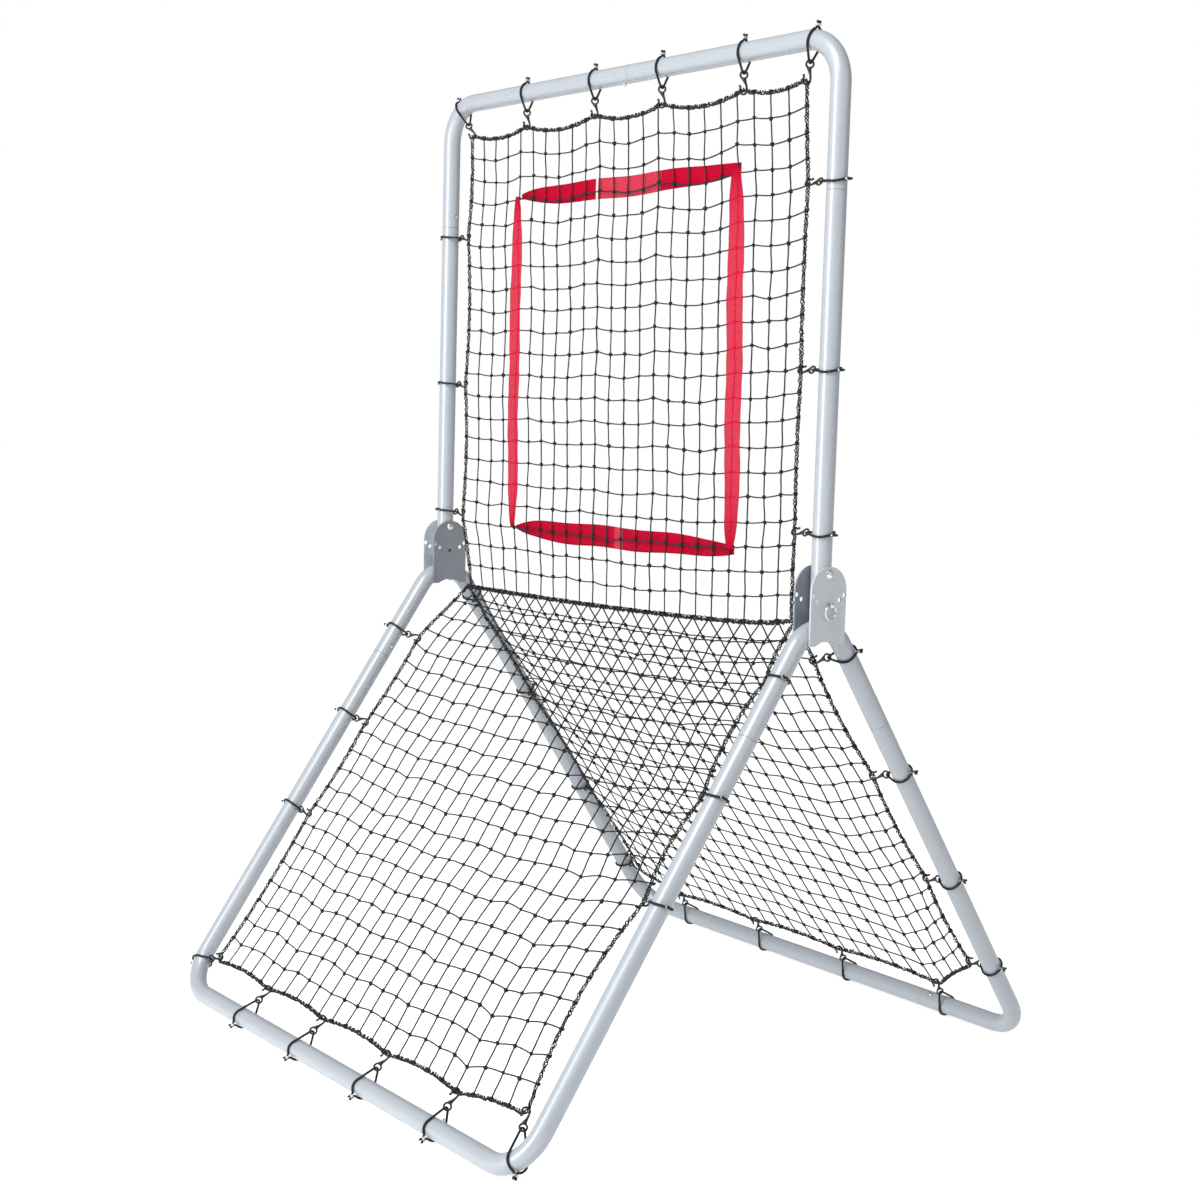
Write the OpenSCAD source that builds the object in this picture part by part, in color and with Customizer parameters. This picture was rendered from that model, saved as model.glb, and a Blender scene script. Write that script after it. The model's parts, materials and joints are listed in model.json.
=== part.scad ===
// Baseball rebound net: an upper frame that tilts on a two-legged stand, with three nets
// hooked to the tubes by elastic loops. Millimetres, +Z up, X across the frame, Y from the
// front (thrower's) side to the rear. The origin is on the floor, under the middle of the pivot.

/* [Stand] */
// Distance between the centre lines of the left and right tubes
frame_w = 1058; // [950:1:1200]
// Height of the top bar's centre line over the pivot
upright_h = 820; // [740:1:920]
// Drop from the pivot to the centre line of the foot bars
foot_drop = 846; // [780:1:940]
// Reach of each foot bar from the pivot, front and rear
leg_reach = 556; // [500:1:620]
// Drop from the pivot to the point where the centre lines of the legs would meet
apex_drop = 41; // [34:0.5:50]

/* [Tube] */
// Outer diameter of every frame tube
tube_d = 32; // [30:0.5:34]
// Wall of the tubes
tube_wall = 1.2; // [1:0.1:1.6]
// Bend radius of the frame corners, at the centre line
corner_r = 72; // [62:1:85]
// Bend radius of the hinge elbows, at the centre line
elbow_r = 63; // [58:1:70]
// Radial clearance of a swaged neck in the tube that it is pushed into
slip_gap = 0.15; // [0.1:0.05:0.3]
// Length of a swaged neck
neck_len = 45; // [38:1:60]
// Length of the taper that leads into a neck, seen as a fine groove at the seam
shoulder = 0.8; // [0.5:0.1:2]

/* [Tube seams] */
// Seam of the two top corners, to the right of the middle
top_seam = 26; // [-60:1:60]
// Height of the seam between a top corner and its upright, over the pivot
upright_seam = 588; // [520:1:640]
// Distance of the seam between an elbow and its leg from the legs' meeting point
elbow_seam = 254; // [220:1:320]
// Distance of the seams in the foot bars from the middle
foot_seam = 297; // [220:1:340]

/* [Hinge brackets] */
// Thickness of a bracket plate
plate_t = 3; // [2.5:0.1:4]
// Width of a bracket plate
plate_w = 76; // [72:1:84]
// Height of a plate's rounded top over the pivot
plate_rise = 11.6; // [10:0.1:16]
// Drop of a plate's lower corners under the pivot
plate_drop = 112; // [108:1:118]
// Gap between a plate and the tubes beside it
plate_gap = 0.3; // [0.2:0.05:0.6]
// Distance of the lock holes from the pivot
lock_r = 48; // [44:0.5:50]
// Diameter of the lock holes
lock_hole_d = 8; // [6:0.1:9]
// Length of the upright under the pivot, which holds its lock hole
upright_tail = 60; // [56:1:62]

/* [Pivot bolts] */
// Diameter of a pivot bolt
bolt_d = 8; // [6:0.1:9]
// Radial running clearance of a bolt in the upright
bolt_gap = 0.1; // [0.05:0.01:0.1]
// Diameter of the pan head
bolt_head_d = 14; // [12:0.1:17]
// Height of the pan head
bolt_head_h = 4.2; // [3:0.1:6]
// Width of a nut across its flats
nut_w = 13; // [12:0.5:16]
// Height of a nut
nut_h = 7; // [5:0.1:9]
// Diameter of a washer
washer_d = 16; // [15:0.1:20]
// Thickness of a washer
washer_t = 1.6; // [1:0.1:2]

/* [Lock pins] */
// Radial clearance of a lock pin in its hole
pin_gap = 0.1; // [0.05:0.01:0.2]
// Length of a lock pin outside its plate
pin_out = 8.6; // [7.5:0.1:12]
// Distance of the ring's hole from the plate
ring_out = 4.6; // [4.2:0.1:5]
// Diameter of the pull ring, at the middle of its wire
ring_d = 28; // [22:0.5:34]
// Diameter of the ring's wire
ring_wire = 2; // [1.6:0.1:2.2]
// Diameter of the hole that holds the ring
ring_hole_d = 3.6; // [3.5:0.1:4]

/* [Snap buttons] */
// Diameter of a snap button
button_d = 6.4; // [5:0.1:8]
// Height of a button over its tube
button_proud = 3.6; // [2.5:0.1:4]
// Distance of a button from the seam of its joint
button_inset = 21; // [16:0.5:24]
// Radial clearance of a button in its holes
button_gap = 0.3; // [0.2:0.05:0.5]
// Width of the spring strip that carries a button
spring_w = 8; // [7:0.1:9]
// Thickness of the spring strip
spring_t = 0.8; // [0.6:0.05:1]

/* [Nets] */
// Distance from the top bar to the rope of the upper net
top_margin = 60; // [56:1:70]
// Distance from the uprights to the rope of the upper net
upper_margin = 62; // [56:1:70]
// Distance from the legs to the rope of the lower nets
leg_margin = 50; // [49:1:58]
// Distance from the foot bars to the rope of the lower nets
foot_margin = 62; // [56:1:70]
// Drop from the pivot to the rope in which the three nets meet
hinge_rope_drop = 92; // [88:1:100]
// Diameter of the border ropes
rope_d = 7; // [6:0.1:8]
// Radius of a rope at the corners of a net
rope_corner_r = 16; // [12:1:24]
// Thickness of the mesh strands
strand = 2; // [1.5:0.1:3]
// Pitch of the mesh, in both directions
mesh_pitch = 66; // [64:1:90]
// Gap between the parts of a net that are laced together
lace_gap = 0.3; // [0.2:0.05:0.5]

/* [Strike zone] */
// Width of the strike zone, between the middles of its ribbons
zone_w = 600; // [400:1:660]
// Height of the strike zone
zone_h = 620; // [500:1:640]
// Height of its middle over the pivot
zone_mid = 326; // [310:1:340]
// Width of the ribbon
ribbon_w = 36; // [25:1:50]
// Thickness of the ribbon
ribbon_t = 0.6; // [0.4:0.1:1]
// Length over which a ribbon narrows at each end
ribbon_taper = 70; // [30:1:110]

/* [Elastic loops] */
// Diameter of the elastic cord
cord_d = 4; // [3.6:0.1:4.4]
// Gap between a cord and what it goes round
wrap_gap = 0.3; // [0.2:0.05:0.5]
// Radius in which the cord's ends turn outwards
cord_turn_r = 3.5; // [3:0.1:5]
// Length of the cord's ends, from the turn
cord_end = 12; // [9:0.5:15]
// Length of the crimped sleeve round both ends
crimp_len = 6; // [4:0.5:7]
// Wall of the crimped sleeve
crimp_wall = 0.7; // [0.5:0.1:1]
// Positions of the loops along the top bar, from the middle
top_ties = [-282, -78, 106, 310]; // [-360:1:360]
// Heights of the loops on the left upright, over the pivot
left_ties = [31, 282, 566]; // [28:1:620]
// Heights of the loops on the right upright, over the pivot
right_ties = [61, 315, 604]; // [28:1:620]
// Places of the loops on the bends of the upper corners, left and right, up from level
upper_corner_ties = [60, 80]; // [0:1:90]
// Loops on the front left leg, from the legs' meeting point
front_left_ties = [196, 391, 596]; // [110:1:860]
// Loops on the front right leg, from the legs' meeting point
front_right_ties = [146, 357, 541]; // [110:1:860]
// Places of the loops on the bends of the front feet, left and right, down from level
front_corner_ties = [18, 45]; // [0:1:90]
// Positions of the loops along the front foot bar, from the middle
front_bar_ties = [-303, -107, 103, 310]; // [-420:1:420]
// Loops on the rear left leg, from the legs' meeting point. The last holds the net's corner
rear_left_ties = [121, 368, 636, 862]; // [110:1:880]
// Loops on the rear right leg, from the legs' meeting point. The last holds the net's corner
rear_right_ties = [110, 362, 604, 812]; // [110:1:880]
// Positions of the loops along the rear foot bar, from the middle
rear_bar_ties = [-372, -137, 101, 351]; // [-420:1:420]
// Turn from the net to the ends of a loop on a foot bar, which keeps them off the floor
floor_tie_turn = 115; // [100:1:125]

/* [Net hooks] */
// Diameter of the hook's plastic section
hook_wire = 3.2; // [2.8:0.1:3.4]
// Radius of the eye, at the middle of its section
eye_r = 5.4; // [5.2:0.1:5.8]
// Distance from the middle of the eye to the rope in the hook
hook_len = 25; // [24:0.5:26]
// Angle that the hook reaches round the rope, past its far side
hook_reach = 130; // [100:1:150]
// Radius of the hook's neck where it leaves the eye
hook_neck_r = 2.3; // [1.8:0.1:2.6]

/* [Hidden] */
$fn = 48;

steel = [0.78, 0.81, 0.85];
plate_grey = [0.68, 0.71, 0.75];
zinc = [0.86, 0.80, 0.64];
bright = [0.85, 0.85, 0.84];
black = [0.09, 0.09, 0.10];
red = [0.78, 0.07, 0.14];

// Length by which a cutting shape runs past what it cuts
cut = 1;
// Length by which a bend laps into the runs beside it, and how much thinner it is there
lap = 0.25;
hair = 0.02;

tube_r = tube_d / 2;
bore_r = tube_r - tube_wall;
neck_r = bore_r - slip_gap;
neck_bore_r = neck_r - tube_wall;
rope_r = rope_d / 2;
cord_r = cord_d / 2;
wire_r = hook_wire / 2;

// A loop under a foot bar is pressed flat on the floor by a tenth of its cord
floor_flat = cord_d / 10;
foot_z = tube_r + wrap_gap + cord_d - floor_flat;
pivot_z = foot_z + foot_drop;
apex_z = pivot_z - apex_drop;
side_x = frame_w / 2;
top_z = pivot_z + upright_h;

// Angle of the legs from upright, and their length from the meeting point to the foot bar
leg_angle = atan2(leg_reach, foot_drop - apex_drop);
leg_len = norm([leg_reach, foot_drop - apex_drop]);
elbow_turn = 180 - 2 * leg_angle;
elbow_tangent = elbow_r / tan(leg_angle);
elbow_z = apex_z - elbow_r / sin(leg_angle);

// Outer faces of the brackets, from the centre line of the tubes
plate_in = tube_r + plate_gap;
plate_out = plate_in + plate_t;
lock_angles = [-45, -30, 0, 30, 45];

// Unit vectors down a leg, front and rear, and across the frame
function down(side) = [0, -side * sin(leg_angle), -cos(leg_angle)];
function on_leg(side, x, s) = [x, 0, apex_z] + s * down(side);
front = 1;
rear = -1;
left = -1;
right = 1;

upper_x = side_x - upper_margin;
lower_x = side_x - leg_margin;
hinge_rope_z = pivot_z - hinge_rope_drop;
// Middle of a lower net's foot rope, and the line that the net follows down to it
function foot_rope(side) = on_leg(side, 0, leg_len - foot_margin);
function net_run(side) = foot_rope(side) - [0, 0, hinge_rope_z];
net_len = norm(net_run(front));
net_angle = atan2(norm([net_run(front).x, net_run(front).y]), -net_run(front).z);

function unit(v) = v / norm(v);

// Puts local +X along x and local +Z as near as it goes to z, with the origin at p
module frame_at(p, x, z) {
    zz = unit(z - (z * x) * x);
    y = cross(zz, x);
    multmatrix([[x.x, y.x, zz.x, p.x], [x.y, y.y, zz.y, p.y], [x.z, y.z, zz.z, p.z], [0, 0, 0, 1]])
        children();
}

// A tube's section, thinner by a hair on both sides where it laps into another piece
module tube_section(thin = 0) {
    difference() {
        circle(r = tube_r - thin);
        circle(r = bore_r + thin);
    }
}

// A tube that runs a along -Y, turns by an angle round the origin and runs b on
module bent_tube(a, turn, b, bend) {
    over = lap / bend * 180 / PI;
    translate([bend, 0, 0]) rotate([90, 0, 0]) linear_extrude(a) tube_section();
    rotate([0, 0, -over]) rotate_extrude(angle = turn + 2 * over)
        translate([bend, 0]) tube_section(hair);
    rotate([0, 0, turn]) translate([bend, 0, 0]) rotate([-90, 0, 0])
        linear_extrude(b) tube_section();
}

// A swaged neck along +Z, from its shoulder at z = 0 to the end of the part pushed in
module neck() {
    difference() {
        union() {
            cylinder(r1 = tube_r, r2 = neck_r, h = shoulder);
            translate([0, 0, shoulder]) cylinder(r = neck_r, h = neck_len);
        }
        translate([0, 0, -cut]) cylinder(r = neck_bore_r, h = shoulder + neck_len + 2 * cut);
    }
}

// A hole for a snap button, along local +Z from the middle of a tube
module button_hole() {
    cylinder(d = button_d + 2 * button_gap, h = tube_r + cut);
}

// Where each snap button sits: place, direction of the neck's end, direction it faces
function button_spot(name) =
    name == "top_bar" ? [[top_seam - button_inset, 0, top_z], [-1, 0, 0], [0, 0, -1]] :
    name == "upright_left" ? upright_spot(left) :
    name == "upright_right" ? upright_spot(right) :
    name == "front_elbow_left" ? elbow_spot(front, left) :
    name == "front_elbow_right" ? elbow_spot(front, right) :
    name == "rear_elbow_left" ? elbow_spot(rear, left) :
    name == "rear_elbow_right" ? elbow_spot(rear, right) :
    name == "front_foot_left" ? foot_spot(front, left) :
    name == "front_foot_right" ? foot_spot(front, right) :
    name == "rear_foot_left" ? foot_spot(rear, left) :
    foot_spot(rear, right);
function upright_spot(hand) =
    [[hand * side_x, 0, pivot_z + upright_seam + button_inset], [0, 0, 1], [-hand, 0, 0]];
function elbow_spot(side, hand) =
    [on_leg(side, hand * side_x, elbow_seam - button_inset), -down(side), [-hand, 0, 0]];
function foot_spot(side, hand) =
    [on_leg(side, hand * (foot_seam + button_inset), leg_len), [hand, 0, 0], -down(side)];

module at_button(name) {
    spot = button_spot(name);
    frame_at(spot[0], spot[1], spot[2]) children();
}

// Upper frame: two top corners and two uprights

module top_corner(hand, run) {
    mirror([hand == left ? 1 : 0, 0, 0])
        translate([side_x - corner_r, 0, top_z - corner_r]) rotate([90, 0, 0])
            bent_tube(upright_h - corner_r - upright_seam, 90, run, corner_r);
}

module top_corner_left() {
    color(steel) difference() {
        top_corner(left, side_x - corner_r + top_seam);
        at_button("top_bar") button_hole();
        at_button("upright_left") button_hole();
    }
}

module top_corner_right() {
    color(steel) difference() {
        union() {
            top_corner(right, side_x - corner_r - top_seam - shoulder);
            translate([top_seam + shoulder, 0, top_z]) rotate([0, -90, 0]) neck();
        }
        at_button("top_bar") button_hole();
        at_button("upright_right") button_hole();
    }
}

module upright(hand) {
    straight = upright_tail + upright_seam - shoulder;
    color(steel) difference() {
        translate([hand * side_x, 0, pivot_z - upright_tail]) {
            difference() {
                cylinder(r = tube_r, h = straight);
                translate([0, 0, -cut]) cylinder(r = bore_r, h = straight + 2 * cut);
            }
            translate([0, 0, straight]) neck();
        }
        translate([hand * side_x - tube_d, 0, pivot_z]) rotate([0, 90, 0])
            cylinder(r = bolt_d / 2 + bolt_gap, h = 2 * tube_d);
        translate([hand * side_x - tube_d, 0, pivot_z - lock_r]) rotate([0, 90, 0])
            cylinder(d = lock_hole_d, h = 2 * tube_d);
        at_button(hand == left ? "upright_left" : "upright_right") button_hole();
    }
}

// Stand: elbows with their bracket plates, legs and foot bars

module hinge_elbow(hand) {
    run = elbow_seam - elbow_tangent;
    color(steel) difference() {
        translate([hand * side_x, 0, elbow_z]) rotate([90, 0, 90]) rotate([0, 0, leg_angle])
            bent_tube(run, elbow_turn, run, elbow_r);
        at_button(hand == left ? "front_elbow_left" : "front_elbow_right") button_hole();
        at_button(hand == left ? "rear_elbow_left" : "rear_elbow_right") button_hole();
    }
}

// Plate outline with Y to the rear and the pivot at the origin, drawn in local X and Y
module plate_outline() {
    top_r = plate_w / 2;
    difference() {
        union() {
            translate([0, plate_rise - top_r]) circle(r = top_r);
            translate([-top_r, -plate_drop]) square([plate_w, plate_drop + plate_rise - top_r]);
        }
        translate([0, elbow_z - pivot_z]) circle(r = elbow_r - tube_r);
        circle(r = bolt_d / 2 + bolt_gap);
        for (a = lock_angles)
            translate([lock_r * sin(a), -lock_r * cos(a)]) circle(d = lock_hole_d);
    }
}

// A bracket plate on the outer (+1) or inner (-1) face of the tubes at one hand
module bracket(hand, face) {
    x = hand * side_x + (hand * face > 0 ? plate_in : -plate_out);
    color(plate_grey) translate([x, 0, pivot_z]) rotate([90, 0, 90])
        linear_extrude(plate_t) plate_outline();
}

module leg(side, hand) {
    bend_s = leg_len - corner_r;
    straight = bend_s - elbow_seam - shoulder;
    elbow_name = side == front ? (hand == left ? "front_elbow_left" : "front_elbow_right")
                               : (hand == left ? "rear_elbow_left" : "rear_elbow_right");
    foot_name = side == front ? (hand == left ? "front_foot_left" : "front_foot_right")
                              : (hand == left ? "rear_foot_left" : "rear_foot_right");
    color(steel) difference() {
        mirror([hand == left ? 1 : 0, 0, 0])
            translate(on_leg(side, side_x - corner_r, bend_s))
                rotate([-90 - side * leg_angle, 0, 0]) {
                    bent_tube(straight, 90, side_x - corner_r - foot_seam, corner_r);
                    translate([corner_r, -straight, 0]) rotate([90, 0, 0]) neck();
                }
        at_button(elbow_name) button_hole();
        at_button(foot_name) button_hole();
    }
}

module foot_bar(side) {
    half = foot_seam - shoulder;
    names = side == front ? ["front_foot_left", "front_foot_right"]
                          : ["rear_foot_left", "rear_foot_right"];
    color(steel) difference() {
        translate(on_leg(side, 0, leg_len)) rotate([0, 90, 0]) {
            difference() {
                cylinder(r = tube_r, h = 2 * half, center = true);
                cylinder(r = bore_r, h = 2 * half + 2 * cut, center = true);
            }
            translate([0, 0, half]) neck();
            translate([0, 0, -half]) rotate([180, 0, 0]) neck();
        }
        for (name = names)
            at_button(name) button_hole();
    }
}

// Pivot bolts: pan heads face right on both sides, with a washer and a nut at the other end

bolt_end = plate_out + washer_t + nut_h + 2;

module pivot_bolt(hand) {
    dome_r = bolt_head_d * 0.62;
    recess = bolt_head_h * 0.5;
    color(zinc) translate([hand * side_x, 0, pivot_z]) rotate([0, 90, 0]) {
        translate([0, 0, -bolt_end]) cylinder(d = bolt_d, h = bolt_end + plate_out);
        translate([0, 0, plate_out]) difference() {
            intersection() {
                cylinder(d = bolt_head_d, h = bolt_head_h);
                translate([0, 0, bolt_head_h - dome_r]) sphere(r = dome_r);
            }
            for (turn = [45, 135])
                rotate([0, 0, turn]) translate([-bolt_head_d / 4, -0.8, bolt_head_h - recess])
                    cube([bolt_head_d / 2, 1.6, recess + cut]);
        }
    }
}

module pivot_nuts() {
    color(zinc) for (hand = [left, right])
        translate([hand * side_x - plate_out - washer_t - nut_h, 0, pivot_z]) rotate([0, 90, 0])
            difference() {
                cylinder(d = nut_w / cos(30), h = nut_h, $fn = 6);
                translate([0, 0, -cut]) cylinder(r = bolt_d / 2 + bolt_gap, h = nut_h + 2 * cut);
            }
}

module pivot_washers() {
    color(zinc) for (hand = [left, right])
        translate([hand * side_x - plate_out - washer_t, 0, pivot_z]) rotate([0, 90, 0])
            difference() {
                cylinder(d = washer_d, h = washer_t);
                translate([0, 0, -cut])
                    cylinder(r = bolt_d / 2 + bolt_gap, h = washer_t + 2 * cut);
            }
}

// Lock pins and their pull rings, on the outer plates

module at_lock(hand) {
    mirror([hand == left ? 1 : 0, 0, 0]) translate([side_x, 0, pivot_z - lock_r]) children();
}

module lock_pin(hand) {
    pin_r = lock_hole_d / 2 - pin_gap;
    len = plate_t + pin_out;
    color(bright) at_lock(hand) difference() {
        translate([plate_in, 0, 0]) rotate([0, 90, 0]) intersection() {
            cylinder(r = pin_r, h = len);
            sphere(r = len);
        }
        translate([plate_out + ring_out, tube_r, 0]) rotate([90, 0, 0])
            cylinder(d = ring_hole_d, h = tube_d);
    }
}

module lock_ring(hand) {
    color(bright) at_lock(hand) translate([plate_out + ring_out, 0, -ring_d / 2])
        rotate([0, 90, 0]) rotate_extrude() translate([ring_d / 2, 0]) circle(d = ring_wire);
}

// Snap buttons: a domed button on the upper arm of a bent spring strip inside the neck.
// The strip rests against the far wall, and its two arms are drawn where the strip flexes.

strip_z = sqrt(neck_bore_r * neck_bore_r - spring_w * spring_w / 4) - button_gap;
arm_front = 6;
arm_flat = 4;
arm_back = 12;
arm_fall = 3.8;
arm_split = 1;
fold_back = 28;
fold_r = 3;
upper_buttons = ["top_bar", "upright_left", "upright_right"];
stand_buttons = [
    "front_elbow_left", "front_elbow_right", "rear_elbow_left", "rear_elbow_right",
    "front_foot_left", "front_foot_right", "rear_foot_left", "rear_foot_right",
];

module snap_button(name) {
    len = tube_r + button_proud - strip_z + spring_t;
    dome_r = 0.8 * button_d;
    color(bright) at_button(name) {
        translate([0, 0, strip_z - spring_t]) intersection() {
            cylinder(d = button_d, h = len);
            translate([0, 0, len - dome_r]) sphere(r = dome_r);
        }
        rotate([90, 0, 0]) linear_extrude(spring_w, center = true) polygon([
            [arm_front, strip_z], [-arm_flat, strip_z], [-arm_back, strip_z - arm_fall],
            [-arm_back, strip_z - arm_fall - spring_t], [-arm_flat, strip_z - spring_t],
            [arm_front, strip_z - spring_t]]);
    }
}

module button_spring(name) {
    inner = fold_r - spring_t / 2;
    outer = fold_r + spring_t / 2;
    arm_end = -arm_back - arm_split;
    arm_z = strip_z - arm_fall - arm_split / 2;
    at_button(name) rotate([90, 0, 0]) linear_extrude(spring_w, center = true) {
        difference() {
            translate([-fold_back, 0]) circle(r = outer);
            translate([-fold_back, 0]) circle(r = inner);
            translate([-fold_back, -2 * outer]) square(4 * outer);
        }
        polygon([[-fold_back, outer], [-fold_back, inner],
            [arm_end, arm_z - spring_t], [arm_end, arm_z]]);
        polygon([[-fold_back, -outer], [-fold_back, -inner],
            [arm_front, spring_t - strip_z], [arm_front, -strip_z]]);
    }
}

module button_springs(names) {
    color(bright) for (name = names)
        button_spring(name);
}

// Nets: flat knotted mesh inside a border rope

// The outline of crossing strands whose ends reach the rope. The gaps at the edge are open to it.
module mesh(w, h) {
    columns = round(w / mesh_pitch);
    rows = round(h / mesh_pitch);
    difference() {
        translate([-w / 2, 0]) square([w, h]);
        for (i = [0 : columns - 1], j = [0 : rows - 1]) {
            x = gap_span(i, columns, w);
            y = gap_span(j, rows, h);
            translate([x[0] - w / 2, y[0]]) square([x[1] - x[0], y[1] - y[0]]);
        }
    }
}

// Where the gap with index i of n starts and ends, along a net of a given size
function gap_span(i, n, size) = [
    i == 0 ? -cut : i * size / n + strand / 2,
    i == n - 1 ? size + cut : (i + 1) * size / n - strand / 2];

// Moves a place p along a net's edge clear of the nearest strand, which a hook passes beside
function beside_strand(p, size) =
    let (pitch = size / round(size / mesh_pitch), k = round(p / pitch))
    k > 0 && k * pitch < size - 1 ? beside(p, k * pitch, strand / 2 + wire_r + lace_gap) : p;
function beside(p, q, room) =
    abs(p - q) >= room ? p : q + (p < q ? -room : room);

// A border rope down the left side of a net, along its foot and up the right side. Each of its
// turns is to the left, and the arcs lap into the straight runs
module border_rope(points) {
    last = len(points) - 1;
    aim = [for (i = [0 : last - 1])
        atan2(points[i + 1].y - points[i].y, points[i + 1].x - points[i].x)];
    tangent = [for (i = [0 : last])
        i == 0 || i == last ? 0 : rope_corner_r * tan((aim[i] - aim[i - 1]) / 2)];
    over = lap / rope_corner_r * 180 / PI;
    for (i = [0 : last - 1])
        translate(points[i]) rotate([0, 0, aim[i]]) translate([tangent[i], 0, 0])
            rotate([0, 90, 0]) cylinder(r = rope_r,
                h = norm(points[i + 1] - points[i]) - tangent[i] - tangent[i + 1]);
    for (i = [1 : last - 1])
        translate(points[i]) rotate([0, 0, aim[i - 1]])
            translate([-tangent[i], rope_corner_r, 0]) rotate([0, 0, -90 - over])
                rotate_extrude(angle = aim[i] - aim[i - 1] + 2 * over)
                    translate([rope_corner_r, 0]) circle(r = rope_r - hair);
}

net_inset = rope_r + lace_gap;
upper_net_foot = hinge_rope_z + rope_r + 2 * lace_gap;
upper_net_h = top_z - top_margin - upper_net_foot;
upper_mesh = [2 * (upper_x - net_inset), upper_net_h - net_inset];
lower_mesh = [2 * (lower_x - net_inset), net_len - 2 * net_inset];

module upper_net() {
    color(black) translate([0, 0, upper_net_foot]) rotate([90, 0, 0])
        linear_extrude(strand, center = true) mesh(upper_mesh.x, upper_mesh.y);
}

module upper_net_rope() {
    color(black) translate([0, 0, top_z - top_margin]) rotate([-90, 0, 0])
        border_rope([[-upper_x, upper_net_h, 0], [-upper_x, 0, 0],
            [upper_x, 0, 0], [upper_x, upper_net_h, 0]]);
}

// Puts local X across the stand and local Y up the net, from the middle of its foot rope
module on_lower_net(side) {
    translate(foot_rope(side)) rotate([90 - side * net_angle, 0, 0]) children();
}

// Where the rope turns at a lower corner of a net, from the side to the foot. The rear net's
// corners are cut short, between the last loop of the leg and the end one of the foot bar
function net_corner(side, hand) =
    side == front ? [[hand * lower_x, 0, 0]] : hand == left ?
    cut_corner(left, rear_left_ties, rear_bar_ties[0]) :
    cut_corner(right, rear_right_ties, rear_bar_ties[len(rear_bar_ties) - 1]);
function cut_corner(hand, ties, x) = [
    [hand * lower_x, rope_up(rear, min(ties[len(ties) - 1], last_tie)) - rope_corner_r, 0],
    [x + hand * rope_corner_r, 0, 0]];

// What the rope shuts out where it runs from p to q, and the half of the rope inside
module past_rope(p, q) {
    translate([p.x, p.y]) rotate(atan2(q.y - p.y, q.x - p.x))
        translate([-net_len, net_inset - net_len]) square([3 * net_len, net_len]);
}

module lower_net(side) {
    cut_left = net_corner(side, left);
    cut_right = net_corner(side, right);
    color(black) on_lower_net(side) linear_extrude(strand, center = true) difference() {
        translate([0, net_inset]) mesh(lower_mesh.x, lower_mesh.y);
        if (side == rear) {
            past_rope(cut_left[0], cut_left[1]);
            past_rope(cut_right[1], cut_right[0]);
        }
    }
}

// The side ropes of both lower nets stop short of the hinge rope, where they would meet
module lower_net_rope(side) {
    rope_stop = rope_r / tan(net_angle) + lace_gap;
    corner = net_corner(side, right);
    color(black) on_lower_net(side) border_rope(concat(
        [[-lower_x, net_len - rope_stop, 0]], net_corner(side, left),
        [for (i = [len(corner) - 1 : -1 : 0]) corner[i]], [[lower_x, net_len - rope_stop, 0]]));
}

module hinge_rope() {
    color(black) translate([0, 0, hinge_rope_z]) rotate([0, 90, 0])
        cylinder(r = rope_r, h = 2 * (lower_x + rope_r), center = true);
}

// Strike zone: four flat ribbons on the front of the upper net, pointed at the corners

module ribbon(len) {
    tip = 2;
    half = len / 2 - 2 * tip;
    linear_extrude(ribbon_t) polygon([
        [-half, -tip / 2], [-half + ribbon_taper, -ribbon_w / 2],
        [half - ribbon_taper, -ribbon_w / 2], [half, -tip / 2],
        [half, tip / 2], [half - ribbon_taper, ribbon_w / 2],
        [-half + ribbon_taper, ribbon_w / 2], [-half, tip / 2]]);
}

module strike_ribbon(x, z, turn, len) {
    color(red) translate([x, -strand / 2 - lace_gap, pivot_z + zone_mid + z])
        rotate([90, turn, 0]) ribbon(len);
}

// Ties: an elastic loop round a tube, a crimped sleeve on its ends, and a hook on the rope.
// A tie is [point on the tube, direction of the tube, point on the rope, turn to the ends].

away = 180;

// A loop keeps clear of the snap buttons too
function beside_button(p, q) = beside(p, q, button_d / 2 + cord_r + 2 * wrap_gap);

function upper_ties() = concat(
    [for (x = top_ties) top_tie(x)], [for (h = left_ties) upright_tie(left, h)],
    [for (h = right_ties) upright_tie(right, h)], [for (hand = [left, right]) corner_tie(hand)]);
function top_tie(x) =
    let (half = upper_mesh.x / 2,
         p = beside_button(beside_strand(x + half, upper_mesh.x) - half, top_seam - button_inset))
    [[p, 0, top_z], [1, 0, 0], [p, 0, top_z - top_margin], away];
function upright_tie(hand, h) =
    let (foot = upper_net_foot - pivot_z, p = beside_strand(h - foot, upper_mesh.y) + foot,
         z = pivot_z + beside_button(p, upright_seam + button_inset))
    [[hand * side_x, 0, z], [0, 0, 1], [hand * upper_x, 0, z], away];
function corner_tie(hand) =
    let (a = upper_corner_ties[hand == left ? 0 : 1], out = [hand * cos(a), 0, sin(a)],
         bend = [hand * (side_x - corner_r), 0, top_z - corner_r],
         turn = [hand * (upper_x - rope_corner_r), 0, top_z - top_margin - rope_corner_r])
    [bend + corner_r * out, [-hand * sin(a), 0, cos(a)], turn + rope_corner_r * out, away];

// The point on a lower net's side rope that is square to a leg at a distance s
function side_rope(side, hand, s) =
    let (p = on_leg(side, hand * lower_x, s), a = [hand * lower_x, 0, hinge_rope_z],
         run = net_run(side), d = down(side))
    a + run * (((p - a) * d) / (run * d));
function rope_up(side, s) = norm(side_rope(side, left, s) - foot_rope(side) + [lower_x, 0, 0]);
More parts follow.
